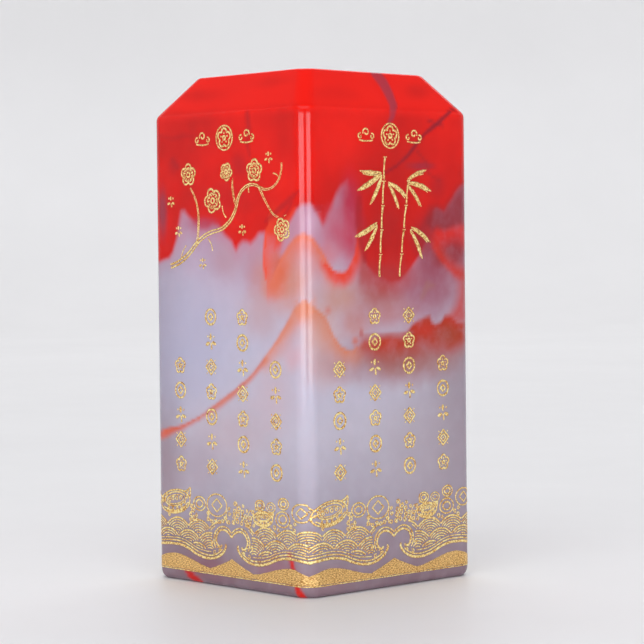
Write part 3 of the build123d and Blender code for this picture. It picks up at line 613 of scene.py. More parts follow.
def ellipseLine(centre, wide, tall, steps=40):
    # a closed line round the centre; the half sizes may change on the way
    a = np.linspace(0, math.tau, steps + 1)[:-1]
    return np.stack([centre[0] + wide * np.cos(a), centre[1] + tall * np.sin(a)], axis=1)


def diamondLine(wide, tall, steps):
    # four straight runs round 0, each of this many points
    corners = np.array([(wide, 0), (0, tall), (-wide, 0), (0, -tall)])
    share = np.linspace(0, 1, steps + 1)[:-1, None]
    ends = np.roll(corners, -1, axis=0)
    return np.concatenate([start + (end - start) * share for start, end in zip(corners, ends)])


def spiralLine(centre, outer, inner, first, last, squash=1.0):
    # radius shrinks evenly from outer to inner as the angle goes round
    share = np.linspace(0, 1, max(8, int(abs(last - first) / 10)) + 1)
    a = np.radians(first + (last - first) * share)
    r = outer + (inner - outer) * share
    return np.stack([centre[0] + r * np.cos(a), centre[1] + squash * r * np.sin(a)], axis=1)


def bowLine(start, end, rise, steps=14):
    # a curve that stands rise to the left of its chord at the middle
    start, end = np.array(start, float), np.array(end, float)
    share = np.linspace(0, 1, steps + 1)[:, None]
    chord = end - start
    side = np.array([-chord[1], chord[0]]) / np.hypot(*chord)
    return start + chord * share + side * 4 * rise * share * (1 - share)


def tangentLine(points, firstWay):
    # arcs through the points, each leaving in the direction in which the one before arrived
    direction = math.radians(firstWay)
    line = [np.array([points[0]], float)]
    for start, end in zip(points, points[1:]):
        chord = math.atan2(end[1] - start[1], end[0] - start[0])
        turn = 2 * math.remainder(chord - direction, math.tau)
        steps = max(4, int(math.dist(start, end) / 0.25))
        share = np.linspace(0, 1, steps + 1)[1:]
        if abs(turn) < 1e-4:
            piece = np.array(start) + (np.array(end) - np.array(start)) * share[:, None]
        else:
            radius = math.dist(start, end) / (2 * math.sin(turn / 2))
            centre = np.array(start) + radius * np.array([-math.sin(direction), math.cos(direction)])
            a = direction + turn * share
            piece = centre + radius * np.stack([np.sin(a), -np.cos(a)], axis=1)
        line.append(piece)
        direction += turn
    return np.concatenate(line)


def stepLengths(line):
    return np.linalg.norm(np.diff(line, axis=0), axis=1)


def resampled(line, step, loop):
    # evenly spaced points along a line, and how far along each lies
    if loop:
        line = np.concatenate([line, line[:1]])
    line = line[np.concatenate([[True], stepLengths(line) > 1e-6])]
    along = np.concatenate([[0], np.cumsum(stepLengths(line))])
    spots = np.linspace(0, along[-1], max(4, int(round(along[-1] / step))) + 1)
    if loop:
        spots = spots[:-1]
    return np.stack([np.interp(spots, along, line[:, k]) for k in (0, 1)], axis=1), spots


lineNumbers = itertools.count(1)


def goldLine(face, line, width, loop=False):
    # a ribbon of gold: a low crown over the line and a root under it, with ragged edges
    number = next(lineNumbers)
    line, spots = resampled(line, gold["step"], loop)
    count = len(line)
    forward = np.roll(line, -1, axis=0) - np.roll(line, 1, axis=0) if loop else np.gradient(line, axis=0)
    forward /= np.maximum(np.linalg.norm(forward, axis=1), 1e-9)[:, None]
    side = np.stack([-forward[:, 1], forward[:, 0]], axis=1)
    if np.ndim(width) == 0:
        breadth = width * np.ones(count)
    else:
        breadth = np.interp(spots / max(spots[-1], 1e-9), *width)
    wobble, grain, shift = (
        weight * latticeNoise(np.stack([spots, np.full(count, number * factor)], axis=1), size, seed)
        for factor, size, seed, weight in gold["ragged"]
    )
    breadth = breadth * (1 + wobble + grain)
    if not loop:
        cut = mitre - gold["cutZone"]
        fromStart = spots if abs(line[0, 0]) < cut else spots + 1
        toEnd = spots[-1] - spots + (0 if abs(line[-1, 0]) < cut else 1)
        fromEnd = np.minimum(fromStart, toEnd)
        breadth = breadth * np.sqrt(1 - (1 - np.clip(fromEnd / (breadth * gold["taper"]), 0, 1)) ** 2)
    line = line + side * shift[:, None]
    across, lift = np.array(gold["section"]).T
    size = len(across)
    factor, pitSize, seed, weight = gold["pits"]
    aside = np.tile(across * gold["pitSpread"], count) + number * factor
    pits = latticeNoise(np.stack([np.repeat(spots, size), aside], axis=1), pitSize, seed)
    crown = gold["rise"] * (1 - weight * (0.5 + 0.5 * pits.reshape(count, size)))
    height = np.where(lift > 0, lift * crown, np.where(lift == -1, -gold["root"], lift * gold["rise"]))
    height = np.where((breadth < 1e-6)[:, None], -gold["endDepth"], height)
    places = line[:, None, :] + side[:, None, :] * (across[None, :] * breadth[:, None] / 2)[..., None]
    points = onStone(face, places[..., 0], places[..., 1], height)
    # the last part is each point's share of the half width, which the gold material darkens as painted shade
    return points.reshape(-1, 3), tubeQuads(count, size, loop), np.tile(np.abs(across), count)


def keptRuns(line, keep, loop=False):
    # the stretches of a line where keep is true; a loop that is kept whole stays a loop
    if keep.all():
        return [(line, loop)]
    if loop:
        start = int(np.flatnonzero(~keep)[0])
        line, keep = np.roll(line, -start, axis=0), np.roll(keep, -start)
    edges = np.flatnonzero(np.diff(np.concatenate([[0], keep.astype(int), [0]])))
    return [(line[a:b], False) for a, b in zip(edges[::2], edges[1::2]) if b - a > 3]


def goldPiece(name, node, lines, solids=(), material=None):
    # lines are (face, line, width, loop); whatever runs past the middle of an upright edge is cut there
    parts = list(solids)
    for face, line, width, loop in lines:
        line = np.asarray(line, float)
        if np.abs(line[:, 0]).max() > mitre - gold["edgeZone"]:
            line, _ = resampled(line, gold["edgeStep"], loop)
        for run, stillLoop in keptRuns(line, np.abs(line[:, 0]) <= mitre + gold["overrun"], loop):
            if stepLengths(run).sum() > gold["shortest"]:
                parts.append(goldLine(face, run, width, stillLoop))
    starts = np.cumsum([0] + [len(points) for points, _, _ in parts[:-1]])
    points = np.concatenate([points for points, _, _ in parts])
    quads = np.concatenate([quads + start for (_, quads, _), start in zip(parts, starts)])
    # each point's share of the half width, darkened in the material as painted shade at the edges
    edge = np.concatenate([edge for _, _, edge in parts])
    piece = meshPiece(name, points, quads, {"edge": edge})
    closeUp(piece, 1e-8)
    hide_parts(node)
    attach(piece, "root")
    piece.data.materials.append(material or goldMaterial)


# materials
def addNode(tree, kind, inputs=None, **settings):
    node = tree.nodes.new(kind)
    for key, value in settings.items():
        setattr(node, key, value)
    for key, value in (inputs or {}).items():
        if isinstance(value, bpy.types.NodeSocket):
            tree.links.new(value, node.inputs[key])
        else:
            node.inputs[key].default_value = value
    return node


def sums(tree, operation, a, b):
    return addNode(tree, "ShaderNodeMath", {0: a, 1: b}, operation=operation).outputs[0]


def between(tree, value, low, high, toLow=0.0, toHigh=1.0):
    node = addNode(tree, "ShaderNodeMapRange", {"Value": value}, interpolation_type="SMOOTHSTEP")
    for key, number in (("From Min", low), ("From Max", high), ("To Min", toLow), ("To Max", toHigh)):
        node.inputs[key].default_value = number
    return node.outputs["Result"]


def mixed(tree, share, a, b):
    return addNode(tree, "ShaderNodeMix", {0: share, 6: a, 7: b}, data_type="RGBA").outputs[2]


def ramp(tree, value, stops):
    node = addNode(tree, "ShaderNodeValToRGB", {"Fac": value})
    band = node.color_ramp
    while len(band.elements) < len(stops):
        band.elements.new(0.5)
    for element, (place, colour) in zip(band.elements, stops):
        element.position = place
        element.color = colour
    return node.outputs["Color"]


def pointValue(tree, name, output="Fac"):
    return addNode(tree, "ShaderNodeAttribute", attribute_name=name).outputs[output]


def swayed(tree, value, noise, amount):
    # the value, pushed up and down by a noise round its middle
    return sums(tree, "ADD", value, sums(tree, "MULTIPLY", sums(tree, "SUBTRACT", noise, 0.5), amount))


def grainGroup():
    # two sizes of cloudy noise from one place, each from 0 to 1
    group = bpy.data.node_groups.new("stoneAndGoldGrain", "ShaderNodeTree")
    for label, way, kind in (("Place", "INPUT", "Vector"), ("Grains per metre", "INPUT", "Float"),
                             ("Broad", "OUTPUT", "Float"), ("Fine", "OUTPUT", "Float")):
        group.interface.new_socket(label, in_out=way, socket_type="NodeSocket" + kind)
    start = group.nodes.new("NodeGroupInput")
    end = group.nodes.new("NodeGroupOutput")
    fineScale = sums(group, "MULTIPLY", start.outputs[1], 6.0)
    for k, (scale, detail) in enumerate(((start.outputs[1], 3.0), (fineScale, 2.0))):
        settings = {"Vector": start.outputs[0], "Scale": scale, "Detail": detail}
        noise = addNode(group, "ShaderNodeTexNoise", settings)
        group.links.new(noise.outputs[0], end.inputs[k])
    return group


grain = grainGroup()


def grainAt(tree, perMetre, stretch=(1, 1, 1)):
    place = addNode(tree, "ShaderNodeTexCoord").outputs["Object"]
    if stretch != (1, 1, 1):
        place = addNode(tree, "ShaderNodeMapping", {"Vector": place, "Scale": stretch}).outputs[0]
    node = addNode(tree, "ShaderNodeGroup", node_tree=grain)
    tree.links.new(place, node.inputs[0])
    node.inputs[1].default_value = perMetre
    return node.outputs["Broad"], node.outputs["Fine"]


def newMaterial(name):
    material = bpy.data.materials.new(name)
    material.use_nodes = True
    tree = material.node_tree
    tree.nodes.clear()
    shader = tree.nodes.new("ShaderNodeBsdfPrincipled")
    end = tree.nodes.new("ShaderNodeOutputMaterial")
    tree.links.new(shader.outputs[0], end.inputs["Surface"])
    return material, tree, shader


def roughAndBumpy(tree, shader, noise, roughness, relief, strength, distance):
    # roughness follows one noise, and the normal the other
    tree.links.new(between(tree, noise, 0.3, 0.7, *roughness), shader.inputs["Roughness"])
    bump = addNode(tree, "ShaderNodeBump", {"Height": relief, "Strength": strength, "Distance": distance})
    tree.links.new(bump.outputs[0], shader.inputs["Normal"])


stoneLook = {
    "milkAndFootShade": [  # share of the height, colour; the low stops are darker, painted shade towards the foot
        (0.0, (122, 98, 108)), (0.05, (138, 116, 126)), (0.11, (149, 134, 145)), (0.18, (165, 156, 169)),
        (0.30, (182, 175, 188)), (0.46, (182, 176, 194)), (0.58, (184, 168, 186)), (0.68, (174, 142, 164)),
        (0.78, (160, 100, 122)),
    ],
    "milkSway": 0.1, "milkGlow": (226, 220, 236), "milkGlowCover": 0.06,
    "red": [  # broad noise, colour
        (0.36, (190, 12, 6)), (0.5, (210, 11, 1)), (0.68, (226, 17, 0)),
    ],
    "rim": (4.0, 0.0, 0.45),                 # darkest red near the border: from depth, to depth, cover
    "bevelLitRed": (242, 18, 0), "bevelLitFrom": (0.0795, 0.0825, 0.8),        # painted light: a brighter red on the bevel and top, lit from above; from height, to height, cover
    "fringe": (196, 104, 122), "fringeFrom": (-3.4, 0.2, 0.4),           # from depth, to depth, cover
    "border": (-0.8, 0.7), "borderSway": 0.5,
    "broadGrains": 60.0, "smallGrains": 420.0,
    "roughness": (0.045, 0.09), "relief": (0.04, 0.002),
    "clearness": 0.25, "clearRadius": (1.0, 0.45, 0.4), "clearScale": 0.001,
    "ior": 1.5, "specular": 0.25,
}


def stoneMaterial():
    # milk by height, darkened towards the foot as painted shade, red by depth from its outline, the marks
    # over both, all three swayed by noise
    look = stoneLook
    material, tree, shader = newMaterial("redAndWhiteStone")
    place = addNode(tree, "ShaderNodeTexCoord").outputs["Object"]
    z = addNode(tree, "ShaderNodeSeparateXYZ", {0: place}).outputs[2]
    broad, fine = grainAt(tree, look["broadGrains"])
    small, _ = grainAt(tree, look["smallGrains"])
    height = swayed(tree, sums(tree, "MULTIPLY", z, 1 / (block["height"] * mm)), broad, look["milkSway"])
    depth = swayed(tree, pointValue(tree, "redDepth"), small, look["borderSway"])
    # painted shade: the milk's low stops darken it towards the foot
    milkAndFootShade = ramp(tree, height, [(share, tone(colour)) for share, colour in look["milkAndFootShade"]])
    glow = between(tree, fine, 0.35, 0.75, 0.0, look["milkGlowCover"])
    milkAndFootShade = mixed(tree, glow, milkAndFootShade, tone(look["milkGlow"]))
    low, high, cover = look["fringeFrom"]
    milkAndFootShade = mixed(tree, between(tree, depth, low, high, 0.0, cover), milkAndFootShade, tone(look["fringe"]))
    red = ramp(tree, broad, [(share, tone(colour)) for share, colour in look["red"]])
    low, high, cover = look["rim"]
    red = mixed(tree, between(tree, depth, low, high, 0.0, cover), red, tone(look["red"][0][1]))
    # painted light: the bevel and top turn a brighter red above the shoulder
    low, high, cover = look["bevelLitFrom"]
    red = mixed(tree, between(tree, z, low, high, 0.0, cover), red, tone(look["bevelLitRed"]))
    colour = mixed(tree, between(tree, depth, *look["border"]), milkAndFootShade, red)
    cover = sums(tree, "MULTIPLY", pointValue(tree, "markCover"), between(tree, small, 0.25, 0.6, 0.9, 1.0))
    colour = mixed(tree, cover, colour, pointValue(tree, "markColour", "Color"))
    tree.links.new(colour, shader.inputs["Base Color"])
    roughAndBumpy(tree, shader, fine, look["roughness"], broad, *look["relief"])
    for socket, key in (("IOR", "ior"), ("Specular IOR Level", "specular"),
                        ("Subsurface Weight", "clearness"), ("Subsurface Radius", "clearRadius"),
                        ("Subsurface Scale", "clearScale")):
        shader.inputs[socket].default_value = look[key]
    return material


goldLook = {
    "colours": [  # fine noise, colour
        (0.34, (152, 88, 30)), (0.45, (234, 174, 86)), (0.58, (255, 240, 170)),
    ],
    "wide": 0.22,                            # how much the brightest tone gathers in larger patches
    "edge": (128, 72, 24), "edgeShadeReach": (0.5, 0.95),       # painted shade of the groove walls: lines darken to this brown towards their edges, from and to shares of half the width
    "roughness": (0.3, 0.55), "stretch": (1, 1, 1),
}
hillLook = {
    "colours": [(0.36, (158, 108, 52)), (0.48, (208, 160, 90)), (0.62, (255, 220, 150))],
    "wide": 0.1,
    # painted shade of the groove walls at the band's edges
    "edge": (150, 96, 44), "edgeShadeReach": (0.66, 1.0),
    "roughness": (0.36, 0.6), "stretch": (0.7, 0.7, 2.0),
}
# the edge cover is how far the line edges darken, as painted shade of the groove walls
goldGrain = {"fine": 620.0, "wide": 260.0, "edgeShadeCover": 0.9, "metallic": 0.6, "relief": (0.8, 0.0001)}


def goldMaterialFor(name, look):
    # tone by fine noise, brighter in wide patches and darker towards the edges of each line as painted shade
    # of the groove walls
    material, tree, shader = newMaterial(name)
    _, fine = grainAt(tree, goldGrain["fine"], look["stretch"])
    wide, _ = grainAt(tree, goldGrain["wide"])
    stops = [(place, tone(colour)) for place, colour in look["colours"]]
    body = ramp(tree, fine, stops)
    body = mixed(tree, between(tree, wide, 0.35, 0.65, 0.0, look["wide"]), body, stops[-1][1])
    # painted shade: darker towards each line's edges
    rim = between(tree, pointValue(tree, "edge"), *look["edgeShadeReach"], 0.0, goldGrain["edgeShadeCover"])
    tree.links.new(mixed(tree, rim, body, tone(look["edge"])), shader.inputs["Base Color"])
    roughAndBumpy(tree, shader, fine, look["roughness"], fine, *goldGrain["relief"])
    shader.inputs["Metallic"].default_value = goldGrain["metallic"]
    return material


goldMaterial = goldMaterialFor("engravedGold", goldLook)
hillMaterial = goldMaterialFor("hatchedGold", hillLook)
stonePiece.data.materials.append(stoneMaterial())
print("stage: materials")

# border round the foot
border = {
    "shift": [0.8, 0.1, 0.8, 0.1],           # middle of the pattern on each face
    # lines of points from the hump to the hook, and the height at which each crosses the upright edge
    "crest": [(14.8, 6.4), (10.45, 5.5), (6.1, 4.6), (2.6, 5.66), (1.56, 6.86), (1.84, 7.4)],
    "crestEdge": 5.94,
    "second": [(14.8, 7.0), (10.45, 6.1), (6.1, 5.15), (3.3, 5.86), (2.44, 6.56)],
    "secondEdge": 6.54,
    "third": [(14.8, 7.5), (10.45, 6.62), (7.2, 5.85), (5.3, 5.8)],
    "thirdEdge": 7.04,
    "scroll": [(0, 8.55), (2.2, 9.85), (4.05, 8.3), (3.2, 6.85), (2.6, 7.35)], "scrollHeading": 61,
    "outerScroll": [(0, 9.35), (2.2, 10.4), (4.62, 8.5), (4.05, 6.5)], "outerHeading": 52,
    "lobe": (2.1, 8.35, 2.95),               # each half of the scroll, kept free of fans: across, up, radius
    "barbs": {"count": 9, "first": 70, "turn": 18, "middle": (2.2, 8.3), "wide": 2.0, "tall": 1.9,
              "length": 0.5, "lean": 34.3775, "rise": 0.06},
    "scrollCurls": [  # middle, outer and inner radius, first and last angle, squash
        ((3.05, 6.15), 0.42, 0.12, 200, -220, 0.8), ((4.5, 5.75), 0.38, 0.12, 150, -260, 1.0),
        ((5.1, 7.3), 0.4, 0.12, 240, 640, 1.0),
    ],
    "fans": [  # rows from the nearest to the furthest: height of the middles, places across or upright edge
        (3.4, [-9.15, 9.15]), (5.4, [-16.9, -11.4, -5.7, 5.7, 11.4, 16.9]),
        (7.4, ["edge", -14.3, -8.7, -3, 3, 8.7, 14.3, "edge"]),
    ],
    "fanRadius": 3.65, "fanGap": 0.3, "arcGap": 0.43, "arcs": 7, "arcPoints": 241,
    "openHalf": 5, "openTop": 6.4,           # no fan in the opening under the scroll
    "hillLow": (5.6, 2.86), "hillPeak": 5.0, "hillHump": (15.0, 4.7), "hillEdge": 3.6, "hillFoot": 2.22,
    "hillEase": 0.8, "peakBend": 0.85, "humpBend": 1.7,
    "footLine": (1.85, 0.25),
}


def sidedLine(points, edgeHeight, side, centre):
    # from the upright edge to the hump, and on to the hook
    reach = mitre - side * centre + 0.03
    outer = tangentLine([points[0], (reach, edgeHeight)], 0)[::-1]
    line = np.concatenate([outer, tangentLine(points, 180)[1:]])
    return line * (side, 1) + (centre, 0)


def fanLines(centre):
    # rings of each fan, hidden where a nearer fan, the crest or the scroll covers them
    covers = [sidedLine(border["third"], border["thirdEdge"], side, centre) for side in (-1, 1)]
    covers = [line[np.argsort(line[:, 0])] for line in covers]
    angles = np.radians(np.linspace(0, 180, border["arcPoints"]))
    arc = np.stack([np.cos(angles), np.sin(angles)], axis=1)
    lobeAcross, lobeUp, lobeRadius = border["lobe"]
    radius, gap = border["fanRadius"], border["fanGap"]
    lines, nearer = [], []
    for up, places in border["fans"]:
        row = [np.array([(-mitre, mitre)[k > 0] if across == "edge" else across + centre, up])
               for k, across in enumerate(places)]
        for middle in row:
            for k in range(border["arcs"]):
                r = radius - k * border["arcGap"]
                line = middle + r * arc
                keep = np.abs(line[:, 0]) <= mitre + gold["overrun"]
                for other in nearer:
                    keep &= np.linalg.norm(line - other, axis=1) > radius + gap
                for other in row:
                    keep &= np.linalg.norm(line - other, axis=1) > r - 0.01
                for side in (-1, 1):
                    keep &= np.linalg.norm(line - (centre + side * lobeAcross, lobeUp), axis=1) > lobeRadius
                for cover in covers:
                    lowest = np.interp(line[:, 0], cover[:, 0], cover[:, 1], left=0, right=0) + gap
                    keep &= line[:, 1] > lowest
                keep &= (np.abs(line[:, 0] - centre) > border["openHalf"]) | (line[:, 1] > border["openTop"])
                width = gold["fan"] if k == 0 else gold["curl"]
                lines += [(run, width, False) for run, _ in keptRuns(line, keep) if len(run) > 6]
        nearer += row
    return lines


def scrollLines(centre):
    # on each side of the middle two cusped lines, barbs between and just outside them, and curls
    barbs = border["barbs"]
    lines = []
    for side in (-1, 1):
        strokes = [(tangentLine(border["scroll"], border["scrollHeading"]), gold["scroll"]),
                   (tangentLine(border["outerScroll"], border["outerHeading"]), gold["fine"])]
        for k in range(barbs["count"]):
            angle = barbs["first"] - barbs["turn"] * k
            start = barbs["middle"] + towards(angle) * (barbs["wide"], barbs["tall"])
            end = start + towards(angle + barbs["lean"], barbs["length"])
            strokes.append((bowLine(start, end, barbs["rise"], 6), gold["curl"]))
        strokes += [(spiralLine(*curl), gold["curl"]) for curl in border["scrollCurls"]]
        lines += [(line * (side, 1) + (centre, 0), width, False) for line, width in strokes]
    return lines


treasures = {
    "coins": [  # across, up, half height, kind
        (-8.4, 13.9, 1.28, "round"), (-3.8, 13.94, 2.05, "square"), (7.3, 14.74, 0.92, "round"),
        (10.1, 14.6, 0.88, "faint"), (13.2, 15.4, 1.0, "round"), (13.0, 12.8, 1.4, "round"),
        (17.3, 14.1, 1.6, "square"),
    ],
    "coinWidth": 1.33,                       # times the height
    "coinRings": {  # shares of the size, width
        "square": [(0.94, gold["fine"])], "faint": [(0.9, gold["hair"]), (0.45, gold["hair"])],
        "round": [(0.93, gold["fine"]), (0.5, gold["fine"] * 1.15)],
    },
    "coinHole": (0.5, 0.56),
    "ingots": [(-14.9, 13.4, 4.3, 9), (8.1, 12.25, 2.6, 3)],     # across, up, half length, tilt
    "curls": [  # across, up, radius
        (1.0, 14.5, 0.42), (1.9, 13.8, 0.5), (0.8, 13.3, 0.46), (2.9, 13.3, 0.46), (1.8, 12.7, 0.5),
        (0.6, 12.3, 0.42), (2.8, 12.3, 0.48), (3.7, 12.6, 0.4), (1.6, 11.6, 0.5), (2.6, 11.3, 0.42),
        (3.6, 11.6, 0.42), (0.5, 11.4, 0.42), (3.1, 14.3, 0.3), (4.0, 13.5, 0.3), (-6.2, 12.4, 0.4),
        (-6.1, 11.5, 0.46), (-5.1, 11.1, 0.42), (-4.1, 11.3, 0.36), (-3.2, 11.1, 0.42), (-2.3, 11.4, 0.4),
        (-1.5, 12.0, 0.46), (-0.7, 11.2, 0.42), (-0.5, 12.6, 0.36), (-0.7, 13.6, 0.32), (4.6, 11.4, 0.4),
        (4.9, 12.4, 0.44), (5.5, 13.4, 0.4), (5.7, 11.2, 0.36), (6.3, 14.1, 0.26), (-10.6, 13.4, 0.36),
        (-10.1, 12.6, 0.46), (-10.9, 11.9, 0.4), (-10.0, 11.4, 0.46), (-10.9, 11.0, 0.32),
        (-9.2, 11.8, 0.34), (-9.2, 11.0, 0.3), (10.9, 11.3, 0.42), (11.9, 11.0, 0.32), (9.9, 10.9, 0.3),
        (15.0, 11.7, 0.4), (15.8, 11.2, 0.34), (16.0, 12.3, 0.34), (-16.6, 11.4, 0.3),
    ],
    "curlWidth": gold["hair"] * 1.15,
    "sweeps": [  # start, end, rise of the long hairs among the curls
        ((0.2, 10.9), (1.4, 14.9), -0.5), ((4.2, 11.0), (5.2, 13.9), 0.5),
        ((5.0, 10.9), (6.3, 13.4), 0.5), ((-1.2, 10.9), (-1.0, 13.4), 0.3),
        ((-10.4, 10.8), (-10.2, 13.8), 0.3), ((-6.6, 10.9), (-6.2, 12.9), -0.2),
    ],
    # hairs that lead from the coin at the upright edge into the next face's large ingot, with their headings
    "trails": [
        ([(-19.2, 15.3), (-18.1, 14.5), (-16.8, 13.4)], 300),
        ([(-19.2, 12.9), (-18.2, 13.6), (-16.6, 14.7)], 55),
    ],
}


def coinLines(across, up, tall, kind):
    # one or two rings, and a diamond hole in the square kind
    wide = tall * treasures["coinWidth"]
    lines = [(ellipseLine((across, up), wide * share, tall * share, 48), width, True)
             for share, width in treasures["coinRings"][kind]]
    if kind == "square":
        holeWide, holeTall = treasures["coinHole"]
        lines.append((diamondLine(holeWide * wide, holeTall * tall, 8) + (across, up), gold["fine"], True))
    return lines


ingotShape = {  # shares of the half length, before the tilt
    "rings": [  # middle, half sizes, weight
        ((0.0, 0.1), 0.93, 0.47, 1.15), ((0.02, 0.2), 0.66, 0.28, 1.0), ((0.02, 0.18), 0.54, 0.18, 0.75),
    ],
    "strokes": [  # start, end, rise
        ((0.6, 0.46), (1.04, 0.6), -0.05), ((1.04, 0.6), (0.93, 0.14), 0.03),
        ((-0.84, 0.34), (-1.02, 0.48), 0.02), ((-0.8, -0.02), (0.84, 0.0), -0.26),
        ((-0.62, -0.16), (0.66, -0.14), -0.17), ((0.72, 0.3), (0.96, 0.5), -0.02),
    ],
    "curls": [  # middle, radius
        ((-0.34, 0.18), 0.1), ((-0.12, 0.22), 0.12), ((0.12, 0.2), 0.12), ((0.36, 0.2), 0.1),
        ((-0.46, -0.1), 0.07), ((-0.2, -0.17), 0.08), ((0.08, -0.19), 0.08), ((0.36, -0.14), 0.08),
        ((0.6, 0.0), 0.07), ((-0.76, 0.16), 0.07), ((0.78, 0.2), 0.07), ((-0.5, 0.42), 0.06),
    ],
}


def ingotLines(across, up, size, tilt):
    # rims, hull lines and curls, scaled to the size and turned by the tilt
    rings = [(ellipseLine(centre, wide, tall, 60), gold["fine"] * weight, True)
             for centre, wide, tall, weight in ingotShape["rings"]]
    strokes = [(bowLine(*stroke), gold["fine"], False) for stroke in ingotShape["strokes"]]
    curls = [(spiralLine(centre, radius, radius * 0.25, 30, 500, 0.8), gold["curl"], False)
             for centre, radius in ingotShape["curls"]]
    turn = np.array([towards(tilt), towards(tilt + 90)])
    shape = rings + strokes + curls
    return [(line * size @ turn + (across, up), width, loop) for line, width, loop in shape]


def curlLines():
    # each curl is a spiral of one turn and a third with a short tail; its way round alternates
    lines = []
    for k, (across, up, radius) in enumerate(treasures["curls"]):
        first, way = 97 * k, (1, -1)[k % 2]
        spiral = spiralLine((across, up), radius, radius * 0.3, first, first + way * 480)
        lines.append((spiral, treasures["curlWidth"], False))
    lines += [(bowLine(*sweep), gold["hair"], False) for sweep in treasures["sweeps"]]
    return lines


def hillHeight(across, centre):
    # a peak in the middle, a low and a hump at each side, joined by S curves
    away = np.abs(across - centre)
    reach = mitre - np.where(across > centre, 1, -1) * centre
    (lowAway, low), (humpAway, hump), peak = border["hillLow"], border["hillHump"], border["hillPeak"]
    peakPart = peak - (peak - low) * np.clip(away / lowAway, 0, 1) ** border["peakBend"]
    humpPart = low + (hump - low) * smooth(away, lowAway - border["hillEase"], humpAway)
    fall = np.clip((away - humpAway) / (reach - humpAway), 0, 1)
    edgePart = humpPart - (hump - border["hillEdge"]) * fall ** border["humpBend"]
    return np.where(away < lowAway, peakPart, edgePart)


hillSkin = {
    "step": 0.16, "rows": 15,
    "grainStretch": 0.45, "grainSize": 0.16, "grainSeed": 61, "grainLayers": 2, "faceStride": 100,
    "crown": (0.55, 0.45),                   # middle and swing of the skin's height, in rises of the gold
    "rimDepth": 0.02, "rimShade": 0.9,        # how far the borders lie under the stone, and how dark they are painted, as shade of the groove walls
    "rimLine": 0.06, "footLine": 0.02,       # how far the thin lines along the borders stand in
}


def hillSolid():
    # the band's outline is a closed ring of rows carried round all four faces; its crown is grained
    rows, rings = hillSkin["rows"], []
    share = np.concatenate([np.linspace(0, 1, rows), [1, 0.5, 0]])
    for face, centre in enumerate(border["shift"]):
        across = np.arange(-mitre, mitre - gold["overrun"], hillSkin["step"])
        up = border["hillFoot"] + (hillHeight(across, centre)[:, None] - border["hillFoot"]) * share
        across = np.repeat(across[:, None], len(share), axis=1)
        around = (across + hillSkin["faceStride"] * face) * hillSkin["grainStretch"]
        place = np.stack([around.ravel(), up.ravel()], axis=1)
        grains = layeredNoise(place, hillSkin["grainSize"], hillSkin["grainSeed"], hillSkin["grainLayers"])
        lift = gold["rise"] * (hillSkin["crown"][0] + hillSkin["crown"][1] * grains.reshape(up.shape))
        lift[:, rows:] = -gold["root"]
        lift[:, [0, rows - 1]] = -hillSkin["rimDepth"]
        rings.append(onStone(face, across, up, lift))
    rings = np.concatenate(rings)
    count, size = rings.shape[:2]
    # painted shade: the band's border rows are marked dark, like the edges of the lines
    edge = np.zeros((count, size))
    edge[:, [0, rows - 1]] = hillSkin["rimShade"]
    return rings.reshape(-1, 3), tubeQuads(count, size, True), edge.ravel()


def roundLine(height, steps=300):
    # a line across a face and past both upright edges, at a height that may change across
    across = np.linspace(-mitre - gold["overrun"], mitre + gold["overrun"], steps)
    return np.stack([across, height(across)], axis=1)


def hillRims():
    lines = []
    for face, centre in enumerate(border["shift"]):
        top = roundLine(lambda across: hillHeight(across, centre) - hillSkin["rimLine"])
        foot = roundLine(lambda across: 0 * across + border["hillFoot"] + hillSkin["footLine"])
        lines += [(face, top, gold["hair"], False), (face, foot, gold["hair"], False)]
    return lines


def footLines():
    foot, width = border["footLine"]
    line = roundLine(lambda across: 0 * across + foot + width / 2)
    return [(face, line, width, False) for face in range(4)]


def crestLines(face, side):
    # the three lines from the upright edge at one side of a face to the middle of the face
    centre = border["shift"][face]
    return [(face, sidedLine(border[key], border[key + "Edge"], side, centre), gold[width], False)
            for key, width in (("crest", "bold"), ("second", "fine"), ("third", "hair"))]


def onFace(face, lines):
    return [(face, line, width, loop) for line, width, loop in lines]


goldPiece("goldFootLine", "foot_line", footLines())
goldPiece("goldHills", "hill_band", hillRims(), [hillSolid()], hillMaterial)
for face, name in enumerate(faceNames):
    following = faceNames[(face + 1) % 4]
    lines = crestLines(face, 1) + crestLines((face + 1) % 4, -1)
    goldPiece(f"goldCrest{name.title()}{following.title()}", f"crest_{name}_{following}", lines)
for face, name in enumerate(faceNames):
    centre = border["shift"][face]
    coins = [line for across, *rest in treasures["coins"] for line in coinLines(across + centre, *rest)]
    ingots = [line for across, *rest in treasures["ingots"] for line in ingotLines(across + centre, *rest)]
    clouds = [(line + (centre, 0), width, loop) for line, width, loop in curlLines()]
    clouds += [(tangentLine(points, way), gold["fine"], False) for points, way in treasures["trails"]]
    kinds = [("Fans", "wave_fans", fanLines(centre)), ("Scroll", "scroll_line", scrollLines(centre)),
             ("Coins", "coins", coins), ("Ingots", "ingots", ingots), ("Clouds", "clouds", clouds)]
    for kind, node, lines in kinds:
        goldPiece(f"gold{name.title()}{kind}", f"{name}_{node}", onFace(face, lines))
print("stage: border")

